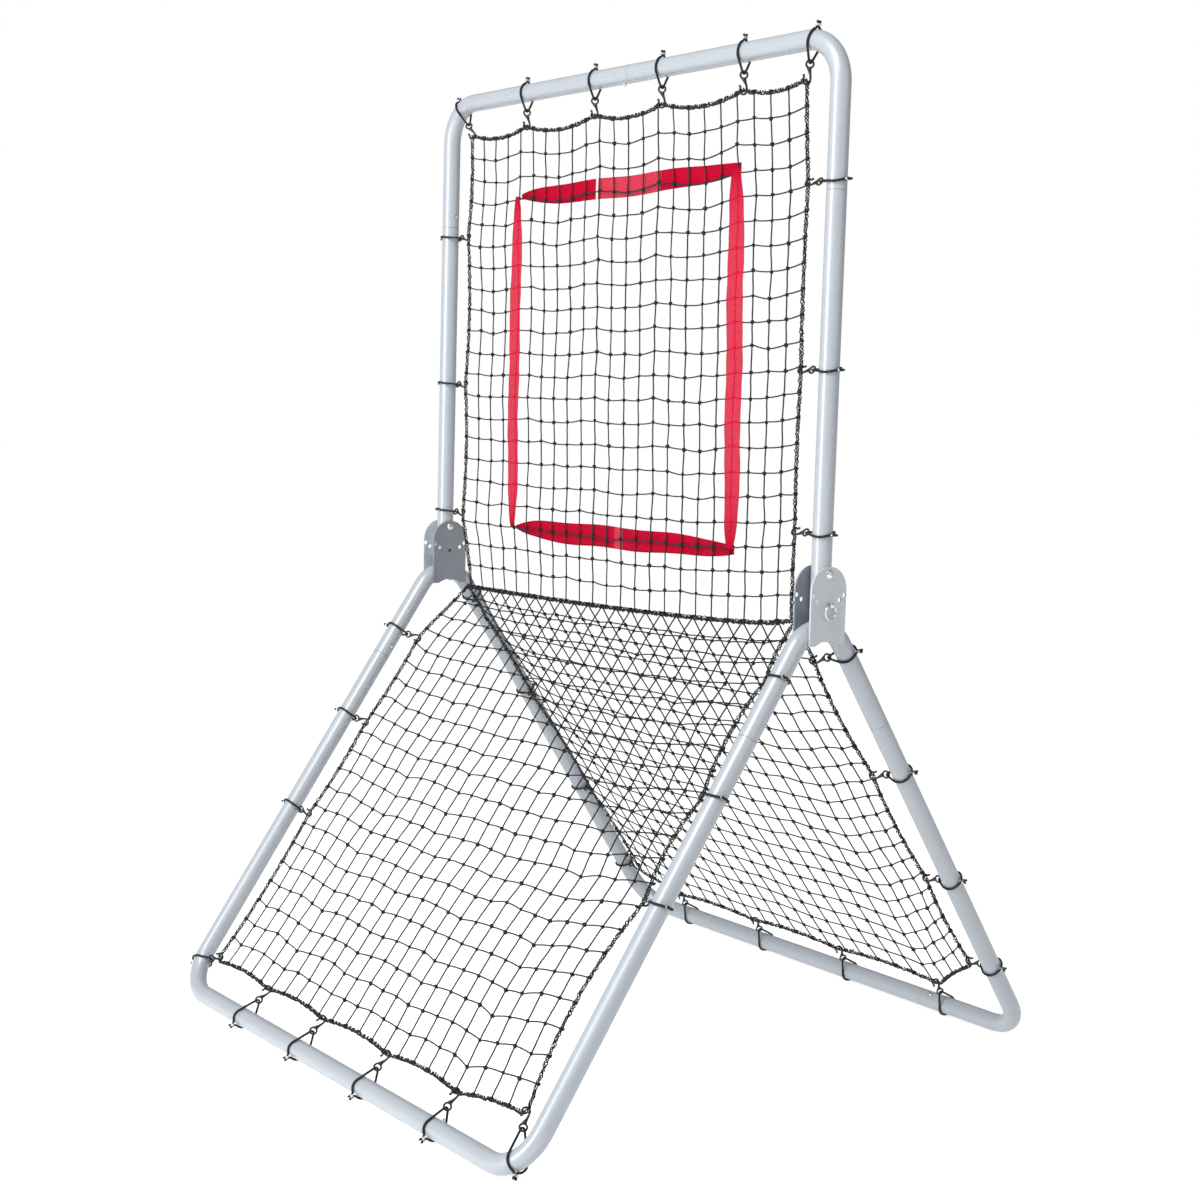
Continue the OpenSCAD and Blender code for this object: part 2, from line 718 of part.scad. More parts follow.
// The lowest place on a leg for a loop whose hook is on the straight part of the side rope
last_tie = leg_len - foot_margin - 2 * rope_corner_r;
function leg_tie(side, hand, s) =
    let (place = min(s, last_tie), up = rope_up(side, place) - net_inset,
         p = place - beside_strand(up, lower_mesh.y) + up,
         q = beside_button(p, elbow_seam - button_inset))
    [on_leg(side, hand * side_x, q), down(side), side_rope(side, hand, q), away];
function bar_tie(side, x) =
    let (half = lower_mesh.x / 2, p = beside_strand(x + half, lower_mesh.x) - half,
         q = beside_button(p, (x < 0 ? left : right) * (foot_seam + button_inset)))
    [on_leg(side, q, leg_len), [side, 0, 0], foot_rope(side) + [q, 0, 0], floor_tie_turn];
function foot_corner_tie(hand) =
    let (a = front_corner_ties[hand == left ? 0 : 1], c = cos(a) * [hand, 0, 0],
         d = down(front), up = -unit(net_run(front)),
         bend = on_leg(front, hand * (side_x - corner_r), leg_len - corner_r),
         turn = foot_rope(front) + [hand * (lower_x - rope_corner_r), 0, 0] + rope_corner_r * up)
    [bend + corner_r * (c + sin(a) * d), cos(a) * d - [hand * sin(a), 0, 0],
     turn + rope_corner_r * (c - sin(a) * up), away];
function leg_ties(side) = concat(
    [for (s = side == front ? front_left_ties : rear_left_ties) leg_tie(side, left, s)],
    [for (s = side == front ? front_right_ties : rear_right_ties) leg_tie(side, right, s)],
    side == front ? [for (hand = [left, right]) foot_corner_tie(hand)] : []);
function bar_ties(side) =
    [for (x = side == front ? front_bar_ties : rear_bar_ties) bar_tie(side, x)];
function lower_ties(side) = concat(leg_ties(side), bar_ties(side));

module at_tie(tie) {
    frame_at(tie[0], unit(tie[2] - tie[0]), tie[1]) children();
}

wrap_r = tube_r + wrap_gap + cord_r;
eye_turn_r = wire_r + wrap_gap + cord_r;
// Half the distance between the cord's ends, and the angle at which they leave the tube
ends_half = cord_r + wrap_gap / 2;
ends_angle = asin((cord_turn_r + ends_half) / (wrap_r + cord_turn_r));
ends_start = (wrap_r + cord_turn_r) * cos(ends_angle);

// Distance from the tube's middle to the near side of the hook's eye
function eye_at(tie) = norm(tie[2] - tie[0]) - hook_len - eye_r;

module cord_arc(r, from, to) {
    rotate([0, 0, from]) rotate_extrude(angle = to - from) translate([r, 0]) circle(r = cord_r);
}

module lapped_arc(r, from, to) {
    over = lap / r * 180 / PI;
    rotate([0, 0, from - over]) rotate_extrude(angle = to - from + 2 * over)
        translate([r, 0]) circle(r = cord_r - hair);
}

module loop(tie) {
    d = eye_at(tie);
    lift = acos((wrap_r - eye_turn_r) / d);
    run = sqrt(d * d - (wrap_r - eye_turn_r) * (wrap_r - eye_turn_r));
    at_tie(tie) {
        cord_arc(wrap_r, lift, tie[3] - ends_angle);
        cord_arc(wrap_r, tie[3] + ends_angle, 360 - lift);
        translate([d, 0, 0]) cord_arc(eye_turn_r, -lift, lift);
        for (flip = [0, 1])
            mirror([0, flip, 0]) rotate([0, 0, lift]) translate([wrap_r, lap, 0])
                rotate([90, 0, 0]) cylinder(r = cord_r - hair, h = run + 2 * lap);
        rotate([0, 0, tie[3]]) for (flip = [0, 1])
            mirror([0, flip, 0]) {
                translate([ends_start, cord_turn_r + ends_half, 0])
                    lapped_arc(cord_turn_r, 180 + ends_angle, 270);
                translate([ends_start, ends_half, 0]) rotate([0, 90, 0])
                    cylinder(r = cord_r, h = cord_end);
            }
    }
}

module upper_loops() {
    color(black) for (tie = upper_ties())
        loop(tie);
}

// The stand rests on the loops of its foot bars, which the floor presses flat
module lower_loops(side) {
    color(black) {
        for (tie = leg_ties(side))
            loop(tie);
        for (tie = bar_ties(side))
            difference() {
                loop(tie);
                translate([tie[0].x - cord_d, tie[0].y - tube_d, -cord_d])
                    cube([2 * cord_d, 2 * tube_d, cord_d]);
            }
    }
}

module stadium(half, r) {
    for (s = [-half, half])
        translate([0, s]) circle(r = r);
    translate([-r, -half]) square([2 * r, 2 * half]);
}

module crimps(ties) {
    inner = cord_r + wrap_gap / 2;
    color(bright) for (tie = ties)
        at_tie(tie) rotate([0, 0, tie[3]]) translate([ends_start + wrap_gap, 0, 0])
            rotate([0, 90, 0]) linear_extrude(crimp_len) difference() {
                stadium(ends_half, inner + crimp_wall);
                stadium(ends_half, inner);
            }
}

module hook(tie) {
    grip_r = rope_r + wrap_gap + wire_r;
    neck_from = hook_len - eye_r;
    lead = acos(grip_r / neck_from);
    neck_run = sqrt(neck_from * neck_from - grip_r * grip_r);
    at_tie(tie) {
        translate([eye_at(tie) + eye_r, 0, 0]) rotate([90, 0, 0])
            rotate_extrude() translate([eye_r, 0]) circle(r = wire_r);
        translate([norm(tie[2] - tie[0]), 0, 0]) {
            rotate([0, 0, -hook_reach]) rotate_extrude(angle = hook_reach + 180 - lead)
                translate([grip_r, 0]) circle(r = wire_r);
            translate([-neck_from, 0, 0]) rotate([0, 0, 90 - lead]) rotate([0, 90, 0])
                translate([0, 0, 1])
                    cylinder(r1 = hook_neck_r, r2 = wire_r - hair, h = neck_run - 1 + lap);
        }
    }
}

module hooks(ties) {
    color(black) for (tie = ties)
        hook(tie);
}

top_corner_left();
top_corner_right();
upright(left);  // upright_left
upright(right);  // upright_right
hinge_elbow(left);  // hinge_elbow_left
hinge_elbow(right);  // hinge_elbow_right
bracket(left, 1);  // bracket_left_outer
bracket(left, -1);  // bracket_left_inner
bracket(right, -1);  // bracket_right_inner
bracket(right, 1);  // bracket_right_outer
leg(front, left);  // front_leg_left
leg(front, right);  // front_leg_right
foot_bar(front);  // front_foot_bar
leg(rear, left);  // rear_leg_left
leg(rear, right);  // rear_leg_right
foot_bar(rear);  // rear_foot_bar
pivot_bolt(left);  // pivot_bolt_left
pivot_bolt(right);  // pivot_bolt_right
pivot_nuts();
pivot_washers();
lock_pin(left);  // lock_pin_left
lock_pin(right);  // lock_pin_right
lock_ring(left);  // lock_ring_left
lock_ring(right);  // lock_ring_right
snap_button("top_bar");  // snap_button_top_bar
snap_button("upright_left");  // snap_button_upright_left
snap_button("upright_right");  // snap_button_upright_right
snap_button("front_elbow_left");  // snap_button_front_elbow_left
snap_button("front_elbow_right");  // snap_button_front_elbow_right
snap_button("rear_elbow_left");  // snap_button_rear_elbow_left
snap_button("rear_elbow_right");  // snap_button_rear_elbow_right
snap_button("front_foot_left");  // snap_button_front_foot_left
snap_button("front_foot_right");  // snap_button_front_foot_right
snap_button("rear_foot_left");  // snap_button_rear_foot_left
snap_button("rear_foot_right");  // snap_button_rear_foot_right
button_springs(upper_buttons);  // button_springs_upper
button_springs(stand_buttons);  // button_springs_stand
upper_net();
lower_net(front);  // front_net
lower_net(rear);  // rear_net
upper_net_rope();
lower_net_rope(front);  // front_net_rope
lower_net_rope(rear);  // rear_net_rope
hinge_rope();
strike_ribbon(0, zone_h / 2, 0, zone_w);  // strike_ribbon_top
strike_ribbon(0, -zone_h / 2, 0, zone_w);  // strike_ribbon_bottom
strike_ribbon(-zone_w / 2, 0, 90, zone_h);  // strike_ribbon_left
strike_ribbon(zone_w / 2, 0, 90, zone_h);  // strike_ribbon_right
upper_loops();
lower_loops(front);  // front_loops
lower_loops(rear);  // rear_loops
hooks(upper_ties());  // upper_hooks
hooks(lower_ties(front));  // front_hooks
hooks(lower_ties(rear));  // rear_hooks
crimps(upper_ties());  // upper_crimps
crimps(lower_ties(front));  // front_crimps
crimps(lower_ties(rear));  // rear_crimps
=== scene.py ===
"""Baseball rebound net: an upper frame that tilts on a stand with two pairs of legs, three
knotted nets hooked to the tubes by elastic loops, and a red strike zone on the upper net.
Metres, +Z up, +X to the thrower's right, with the thrower in front at -Y."""
import bisect
import json
import math
import random

import bpy
from mathutils import Matrix, Vector


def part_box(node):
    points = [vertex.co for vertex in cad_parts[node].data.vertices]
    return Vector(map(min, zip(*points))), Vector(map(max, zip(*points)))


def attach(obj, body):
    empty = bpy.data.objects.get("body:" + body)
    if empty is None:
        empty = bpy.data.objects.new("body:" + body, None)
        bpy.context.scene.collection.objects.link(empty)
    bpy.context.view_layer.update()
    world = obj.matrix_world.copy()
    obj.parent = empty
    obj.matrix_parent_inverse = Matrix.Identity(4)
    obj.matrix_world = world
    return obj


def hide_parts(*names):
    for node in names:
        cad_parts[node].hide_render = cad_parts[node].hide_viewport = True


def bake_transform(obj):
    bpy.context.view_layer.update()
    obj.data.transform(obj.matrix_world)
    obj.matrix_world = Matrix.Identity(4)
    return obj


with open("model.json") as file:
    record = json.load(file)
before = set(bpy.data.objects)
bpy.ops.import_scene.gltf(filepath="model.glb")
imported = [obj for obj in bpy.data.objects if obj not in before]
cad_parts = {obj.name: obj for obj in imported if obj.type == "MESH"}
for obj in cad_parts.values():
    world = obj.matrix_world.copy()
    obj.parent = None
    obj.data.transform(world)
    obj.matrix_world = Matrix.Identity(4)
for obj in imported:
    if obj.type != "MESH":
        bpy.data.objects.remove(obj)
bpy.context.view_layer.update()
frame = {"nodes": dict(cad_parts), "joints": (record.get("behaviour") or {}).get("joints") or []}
nodes = frame["nodes"]
LEFT, RIGHT = -1, 1
FRONT, REAR = 1, -1


# Frame tubes: round steel tube, bent at the top corners, hinge elbows and feet and swaged at each
# joint, with a satin silver-grey powder coat. The coat is baked on, so it has a faint orange peel
# and covers the whole outside without a break.
TUBE_SILVER = (0.47, 0.51, 0.555, 1)
TUBE_SATIN = 0.34
PEEL_SCALE = 420
PEEL_DEPTH, PEEL_STRENGTH = 0.00006, 0.6
COAT_METALLIC = 0.15
COAT_GLOSS = 0.12
COAT_GLOSS_ROUGHNESS = 0.25
TUBES = (
    "top_corner_left", "top_corner_right", "upright_left", "upright_right",
    "hinge_elbow_left", "hinge_elbow_right", "front_leg_left", "front_leg_right",
    "rear_leg_left", "rear_leg_right", "front_foot_bar", "rear_foot_bar",
)


def put(tree, kind, inputs=None, **settings):
    """Adds a node of that kind, with its inputs linked where a socket is given, or else set."""
    made = tree.nodes.new(kind)
    for name, value in settings.items():
        setattr(made, name, value)
    for key, value in (inputs or {}).items():
        if isinstance(value, bpy.types.NodeSocket):
            tree.links.new(value, made.inputs[key])
        else:
            made.inputs[key].default_value = value
    return made


def maths(tree, operation, *values):
    """The result of a Math node with those values or sockets."""
    return put(tree, "ShaderNodeMath", dict(enumerate(values)), operation=operation).outputs[0]


def scaled(tree, vector, share):
    """A vector or colour times a share."""
    made = put(tree, "ShaderNodeVectorMath", {0: vector, "Scale": share}, operation="SCALE")
    return made.outputs[0]


def ranged(tree, value, low, high):
    """A value from 0 to 1, laid out from low to high."""
    made = put(tree, "ShaderNodeMapRange", {"Value": value, "To Min": low, "To Max": high})
    return made.outputs[0]


def speckle(tree, scale, detail):
    """Noise from 0 to 1 on the object's own coordinates."""
    place = put(tree, "ShaderNodeTexCoord").outputs["Object"]
    noise = put(tree, "ShaderNodeTexNoise", {"Vector": place, "Scale": scale, "Detail": detail})
    return noise.outputs["Fac"]


def bump(tree, shader, height, distance, strength=1.0):
    """Leads a height to the shader's normal."""
    made = put(tree, "ShaderNodeBump",
               {"Height": height, "Distance": distance, "Strength": strength})
    tree.links.new(made.outputs[0], shader.inputs["Normal"])


def new_group(kind, name, inputs, outputs):
    """A node group with named sockets: inputs as (name, kind, value), outputs as (name, kind)."""
    tree = bpy.data.node_groups.new(name, kind)
    for label, socket, value in inputs:
        made = tree.interface.new_socket(label, in_out="INPUT", socket_type="NodeSocket" + socket)
        if value is not None:
            made.default_value = value
    for label, socket in outputs:
        tree.interface.new_socket(label, in_out="OUTPUT", socket_type="NodeSocket" + socket)
    return tree, tree.nodes.new("NodeGroupInput").outputs, tree.nodes.new("NodeGroupOutput").inputs


def new_material(name, **constants):
    """A material with the shader's own sockets set, and the tree and shader to build on."""
    made = bpy.data.materials.new(name)
    made.use_nodes = True
    shader = made.node_tree.nodes["Principled BSDF"]
    for label, value in constants.items():
        shader.inputs[label.replace("_", " ").title()].default_value = value
    return made, made.node_tree, shader


def dress(names, material):
    """Gives CAD nodes their material."""
    for name in names:
        nodes[name].data.materials.clear()
        nodes[name].data.materials.append(material)


powder, given, result = new_group(
    "ShaderNodeTree", "powder coat",
    [("Color", "Color", (1, 1, 1, 1)), ("Roughness", "Float", 0.4), ("Peel Scale", "Float", 400.0)],
    [("Color", "Color"), ("Roughness", "Float"), ("Height", "Float")])
cloud = speckle(powder, 9.0, 3.0)
tone, rub = ranged(powder, cloud, 0.95, 1.04), ranged(powder, cloud, -0.04, 0.05)
powder.links.new(scaled(powder, given["Color"], tone), result["Color"])
powder.links.new(maths(powder, "ADD", given["Roughness"], rub), result["Roughness"])
powder.links.new(speckle(powder, given["Peel Scale"], 2.0), result["Height"])


def powder_coated(name, colour, satin):
    material, tree, shader = new_material(name, metallic=COAT_METALLIC, coat_weight=COAT_GLOSS,
                                          coat_roughness=COAT_GLOSS_ROUGHNESS)
    coat = put(tree, "ShaderNodeGroup",
               {"Color": colour, "Roughness": satin, "Peel Scale": PEEL_SCALE}, node_tree=powder)
    tree.links.new(coat.outputs["Color"], shader.inputs["Base Color"])
    tree.links.new(coat.outputs["Roughness"], shader.inputs["Roughness"])
    bump(tree, shader, coat.outputs["Height"], PEEL_DEPTH, PEEL_STRENGTH)
    return material


tube_paint = powder_coated("tube_paint", TUBE_SILVER, TUBE_SATIN)
dress(TUBES, tube_paint)
tube_r = (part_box("upright_left")[1].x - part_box("upright_left")[0].x) / 2
side_x = (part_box("upright_right")[0].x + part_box("upright_right")[1].x) / 2
top_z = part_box("top_corner_left")[1].z - tube_r


# Hinge brackets: four pressed steel plates, two at each side, that clamp the upright between them
# and carry the pivot and five lock holes. They have a satin grey coat, and the press has rounded
# their edges a little. The inner two are darker grey: painted shade for the narrow gap between
# them.
PLATE_GREY = (0.60, 0.63, 0.67, 1)
INNER_SHADE_GREY = (0.26, 0.285, 0.32, 1)
PLATE_SATIN = 0.46
PLATE_EDGE = 0.0007
PLATE_SHARP = 40
JOINED_WITHIN = 0.00002
OUTER_PLATES = ("bracket_left_outer", "bracket_right_outer")
INNER_PLATES = ("bracket_left_inner", "bracket_right_inner")


def soften(name, radius, sharp):
    """Rounds a CAD node's edges that are sharper than some degrees, in its modifiers. Its loose
    triangles are joined first."""
    weld = nodes[name].modifiers.new("joined", "WELD")
    weld.merge_threshold = JOINED_WITHIN
    edge = nodes[name].modifiers.new("edges", "BEVEL")
    edge.width = radius
    edge.segments = 2
    edge.limit_method = "ANGLE"
    edge.angle_limit = math.radians(sharp)
    edge.harden_normals = True


dress(OUTER_PLATES, powder_coated("plate_paint", PLATE_GREY, PLATE_SATIN))
# The inner plates' darker grey is painted shade, standing in for the shade between the plates.
dress(INNER_PLATES, powder_coated("inner_plate_paint", INNER_SHADE_GREY, PLATE_SATIN))
for plate in OUTER_PLATES + INNER_PLATES:
    soften(plate, PLATE_EDGE, PLATE_SHARP)


# Pivot bolts: pan-head machine screws with a cross recess, through both plates and the upright,
# each with a washer and a lock nut on the far side. All are steel with a yellowish zinc plate.
ZINC = (0.82, 0.78, 0.70, 1)
BOLT_EDGE, BOLT_SHARP = 0.0003, 35
METAL_GRAIN = 180.0
GRAIN_DEPTH, GRAIN_STRENGTH = 0.00003, 0.4
BOLTS = ("pivot_bolt_left", "pivot_bolt_right", "pivot_nuts", "pivot_washers")

metal_wear, given, result = new_group(
    "ShaderNodeTree", "handled metal",
    [("Color", "Color", (1, 1, 1, 1)), ("Roughness", "Float", 0.3), ("Scale", "Float", 120.0)],
    [("Color", "Color"), ("Roughness", "Float"), ("Height", "Float")])
grain = speckle(metal_wear, given["Scale"], 4.0)
tone, rub = ranged(metal_wear, grain, 0.82, 1.1), ranged(metal_wear, grain, -0.08, 0.12)
metal_wear.links.new(scaled(metal_wear, given["Color"], tone), result["Color"])
metal_wear.links.new(maths(metal_wear, "ADD", given["Roughness"], rub), result["Roughness"])
metal_wear.links.new(grain, result["Height"])


def bare_metal(name, colour, roughness, scale=METAL_GRAIN):
    material, tree, shader = new_material(name, metallic=1.0)
    wear = put(tree, "ShaderNodeGroup",
               {"Color": colour, "Roughness": roughness, "Scale": scale}, node_tree=metal_wear)
    tree.links.new(wear.outputs["Color"], shader.inputs["Base Color"])
    tree.links.new(wear.outputs["Roughness"], shader.inputs["Roughness"])
    bump(tree, shader, wear.outputs["Height"], GRAIN_DEPTH, GRAIN_STRENGTH)
    return material


dress(BOLTS, bare_metal("zinc_plate", ZINC, 0.24))
for bolt in BOLTS:
    soften(bolt, BOLT_EDGE, BOLT_SHARP)


# Snap buttons: turned steel buttons on bent spring strips inside the swaged necks. Each sticks
# out through the holes of both tubes and locks them. They are bright, unpainted steel.
STEEL = (0.72, 0.72, 0.71, 1)
BUTTONS = [name for name in nodes if name.startswith(("snap_button", "button_springs"))]

bright_steel = bare_metal("bright_steel", STEEL, 0.22)
dress(BUTTONS, bright_steel)


# Lock pins: bright steel pins through the plates' lock holes. Each is pulled by a split ring,
# wound from two turns of hard spring wire, that hangs in a hole across its head.
COIL_TURNS = 1.93
COIL_STEPS = 96
COIL_WIRE = 0.00085
COIL_R = 0.0118
COIL_PITCH = 2.06 * COIL_WIRE
COIL_SLIT_AT = 205

dress(("lock_pin_left", "lock_pin_right"), bright_steel)

ring_tree, given, result = new_group(
    "GeometryNodeTree", "split ring",
    [("Geometry", "Geometry", None), ("Ring Radius", "Float", 0.014),
     ("Wire Radius", "Float", 0.0008), ("Pitch", "Float", 0.0017), ("Turns", "Float", 2.0),
     ("Material", "Material", None)],
    [("Geometry", "Geometry")])
coil = put(ring_tree, "GeometryNodeCurveSpiral", {
    "Resolution": COIL_STEPS, "Rotations": given["Turns"], "Start Radius": given["Ring Radius"],
    "End Radius": given["Ring Radius"],
    "Height": maths(ring_tree, "MULTIPLY", given["Pitch"], given["Turns"])})
wire = put(ring_tree, "GeometryNodeCurvePrimitiveCircle",
           {"Resolution": 12, "Radius": given["Wire Radius"]})
coiled = put(ring_tree, "GeometryNodeCurveToMesh", {
    "Curve": coil.outputs[0], "Profile Curve": wire.outputs[0], "Fill Caps": True})
smooth = put(ring_tree, "GeometryNodeSetShadeSmooth", {"Geometry": coiled.outputs[0]})


def finish_tree(tree, geometry, material, result):
    """Ends a tree: plain geometry, with its material."""
    real = put(tree, "GeometryNodeRealizeInstances", {"Geometry": geometry})
    done = put(tree, "GeometryNodeSetMaterial", {"Geometry": real.outputs[0], "Material": material})
    tree.links.new(done.outputs[0], result["Geometry"])


finish_tree(ring_tree, smooth.outputs[0], given["Material"], result)


def new_object(name, data):
    made = bpy.data.objects.new(name, data)
    bpy.context.scene.collection.objects.link(made)
    return made


def line_mesh(name, lines, marks=None):
    """An object of open lines, as (points) lists, with point attributes {name: (kind, values)}."""
    mesh = bpy.data.meshes.new(name)
    points = [p for line in lines for p in line]
    edges, first = [], 0
    for line in lines:
        edges += [(first + i, first + i + 1) for i in range(len(line) - 1)]
        first += len(line)
    mesh.from_pydata([tuple(p) for p in points], edges, [])
    for label, (kind, values) in (marks or {}).items():
        attribute = mesh.attributes.new(label, kind, "POINT")
        if kind == "FLOAT_VECTOR":
            attribute.data.foreach_set("vector", [c for v in values for c in v])
        else:
            attribute.data.foreach_set("value", values)
    return new_object(name, mesh)


def grow(source, tree, **inputs):
    """Runs a tree on an object and leaves the plain mesh that comes out in its place."""
    modifier = source.modifiers.new("grown", "NODES")
    modifier.node_group = tree
    named = {item.name: item.identifier for item in tree.interface.items_tree
             if item.in_out == "INPUT"}
    for label, value in inputs.items():
        modifier[named[label.replace("_", " ").title()]] = value
    evaluated = source.evaluated_get(bpy.context.evaluated_depsgraph_get())
    mesh = bpy.data.meshes.new_from_object(evaluated)
    source.modifiers.clear()
    plain = source.data
    source.data = mesh
    mesh.name = source.name
    bpy.data.meshes.remove(plain)
    return source


for side, hand in (("left", LEFT), ("right", RIGHT)):
    low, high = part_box("lock_ring_" + side)
    ring = grow(line_mesh("split_ring_" + side, [[(0, 0, 0), (0, 0, 0.001)]]), ring_tree,
                ring_radius=COIL_R, wire_radius=COIL_WIRE, pitch=COIL_PITCH, turns=COIL_TURNS,
                material=bright_steel)
    middle = (low + high) / 2
    middle.z = high.z - COIL_R - COIL_WIRE
    ring.data.transform(Matrix.Translation(middle) @ Matrix.Rotation(math.radians(90), 4, "Y")
                        @ Matrix.Rotation(math.radians(COIL_SLIT_AT), 4, "Z")
                        @ Matrix.Translation((0, 0, -COIL_PITCH * COIL_TURNS / 2)))
    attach(ring, "lock_ring_" + side)
    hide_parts("lock_ring_" + side)


# Border ropes: three-strand black rope along the three free sides of each net. The hooks pull it
# out towards the tubes, and it runs back in an easy curve between them.
pivot_z = next(j for j in frame["joints"] if j["name"] == "upper_tilt")["pos_m"][2]
foot_z = (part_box("front_foot_bar")[0].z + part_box("front_foot_bar")[1].z) / 2
foot_y = -(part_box("front_foot_bar")[0].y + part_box("front_foot_bar")[1].y) / 2
APEX_DROP = 0.041
TOP_MARGIN = 0.060
UPPER_MARGIN = 0.062
LEG_MARGIN = 0.050
FOOT_MARGIN = 0.062
HINGE_ROPE_DROP = 0.092
ROPE_CORNER = 0.016
UPPER_CORNER = 0.006
ROPE_D = 0.0076
ROPE_LAY = 0.0155
ROPE_DRAWN = 0.92
ROPE_FADE = 0.02
ROPE_LOOSE = 0.9
ROPE_STEP = 0.003
CORNER_STEPS = 8
CORNER_CUT = 0.29
STRAND_OUT, STRAND_R = 0.35, 0.15
STRAND_STEP = 0.0024
SEAM_JUMP = 0.3
YARN_SHEEN = 0.3
BLACK_YARN = (0.008, 0.008, 0.009, 1)
# The rope's paler grey is a painted highlight on the crests of its yarn.
ROPE_HIGHLIGHT_GREY = (0.04, 0.04, 0.042, 1)
HOOK_NEAR = 0.03
UPPER_DIPS = (0.075, 0.032, 0.010)
FRONT_DIPS = (0.042, 0.032, 0.075)
REAR_DIPS = (0.042, 0.032, 0.040)
TOP_TIES = (-0.282, -0.078, 0.106, 0.310)
UPRIGHT_TIES = {LEFT: (0.031, 0.282, 0.566), RIGHT: (0.061, 0.315, 0.604)}
UPPER_CORNERS = {LEFT: 60, RIGHT: 80}
LEG_TIES = {
    (FRONT, LEFT): (0.196, 0.391, 0.596), (FRONT, RIGHT): (0.146, 0.357, 0.541),
    (REAR, LEFT): (0.121, 0.368, 0.636, 0.862), (REAR, RIGHT): (0.110, 0.362, 0.604, 0.812),
}
FRONT_CORNERS = {LEFT: 18, RIGHT: 45}
BAR_TIES = {FRONT: (-0.303, -0.107, 0.103, 0.310), REAR: (-0.372, -0.137, 0.101, 0.351)}
BAR_LEANS = {FRONT: (0.020, 0.016, 0.011, 0.003), REAR: (0, 0, 0, 0)}
FOOT_CORNER_RISE = {LEFT: 0, RIGHT: 0.019}
HINGE_SAG = 0.021
HINGE_BOW = 0.006
HINGE_LIFT, HINGE_LIFT_POWER = 0.014, 16
HINGE_PINCH = 0.035
PINCH_FADE = 0.11
UPPER_BELLY, LOWER_BELLY = 0.004, 0.007
ACROSS = Vector((1, 0, 0))
UP = Vector((0, 0, 1))

hinge_z = pivot_z - HINGE_ROPE_DROP
hinge_middle = Vector((0, 0, hinge_z))
apex = Vector((0, 0, pivot_z - APEX_DROP))
leg_angle = math.atan2(foot_y, apex.z - foot_z)
leg_length = math.hypot(foot_y, apex.z - foot_z)


def down(side):
    """Unit vector down the legs of the front or rear."""
    return Vector((0, -side * math.sin(leg_angle), -math.cos(leg_angle)))


def foot_rope(side):
    return apex + down(side) * (leg_length - FOOT_MARGIN)


def hook_spot(node, near, along):
    """Where a hook of a CAD node sits along a direction, found among its points near a place."""
    points = [p.co for p in nodes[node].data.vertices if (p.co - near).length < HOOK_NEAR]
    spread = [p @ along for p in points]
    return (min(spread) + max(spread)) / 2


def rounded(turns, radius):
    """A line of flat places past the turns of a rope, each rounded to a radius."""
    line = [turns[0]]
    for before, turn, after in zip(turns, turns[1:], turns[2:]):
        back, on = (before - turn).normalized(), (after - turn).normalized()
        bend = (math.pi - back.angle(on)) / 2
        centre = turn + (back + on).normalized() * radius / math.cos(bend)
        first, last = (turn + way * radius * math.tan(bend) - centre for way in (back, on))
        line += [centre + first.lerp(last, i / CORNER_STEPS).normalized() * radius
                 for i in range(CORNER_STEPS + 1)]
    return line + [turns[-1]]


class NetEdge:
    """The roped sides of a net, from its left end at the hinge rope to its right end.
    Flat places are (across, away), away from the hinge rope; a length is a way along the rope.
    dips says how far the rope is drawn in between hooks, as a share: far side, left, right."""

    def __init__(self, turns, hooks, corners, dips, corner_r=ROPE_CORNER):
        self.half, self.far, self.dips = turns[-1].x, max(p.y for p in turns), dips
        self.outline = rounded(turns, corner_r)
        self.ways = [0]
        for a, b in zip(self.outline, self.outline[1:]):
            self.ways.append(self.ways[-1] + (b - a).length)
        self.length = self.ways[-1]
        self.corners = [self.nearest(p) for p in corners]
        self.held = sorted([0, self.length, *self.corners, *(self.nearest(p) for p in hooks)])

    def nearest(self, place):
        """The length at which the outline passes closest to a flat place."""
        found = []
        for way, a, b in zip(self.ways, self.outline, self.outline[1:]):
            share = min(max((place - a).dot(b - a) / (b - a).length_squared, 0), 1)
            found.append(((a.lerp(b, share) - place).length, way + share * (b - a).length))
        return min(found)[1]

    def at(self, s):
        """The rope's place at a length, drawn in between the hooks."""
        i = min(max(bisect.bisect_right(self.ways, s) - 1, 0), len(self.ways) - 2)
        a, b = self.outline[i], self.outline[i + 1]
        place = a.lerp(b, (s - self.ways[i]) / (b - a).length)
        way = (b - a).normalized()
        k = min(max(bisect.bisect_right(self.held, s), 1), len(self.held) - 1)
        before, after = self.held[k - 1], self.held[k]
        share = (s - before) / max(after - before, 1e-6)
        on_left, on_right = after <= self.corners[0] + 1e-6, before >= self.corners[1] - 1e-6
        side = 1 if on_left else 2 if on_right else 0
        dip = self.dips[side] * (after - before) * 4 * share * (1 - share)
        return place + Vector((way.y, -way.x)) * dip

    def patch(self, u, w):
        """A place in the net: u across from 0 to 1, w away from the hinge rope from 0 to 1."""
        a, b = self.corners
        near = Vector((-self.half, 0)).lerp(Vector((self.half, 0)), u)
        far = self.at(a + (b - a) * u)
        left_edge, right_edge = self.at(a * w), self.at(self.length - (self.length - b) * w)
        ends = near.lerp(self.at(a).lerp(self.at(b), u), w)
        return near.lerp(far, w) + left_edge.lerp(right_edge, u) - ends


def hinge_sag(u):
    """How far the hinge rope hangs below its level, at a share of its length from the left."""
    lift = HINGE_LIFT * u ** HINGE_LIFT_POWER
    return HINGE_SAG * (1 - u) + HINGE_BOW * math.sin(math.pi * u) - lift


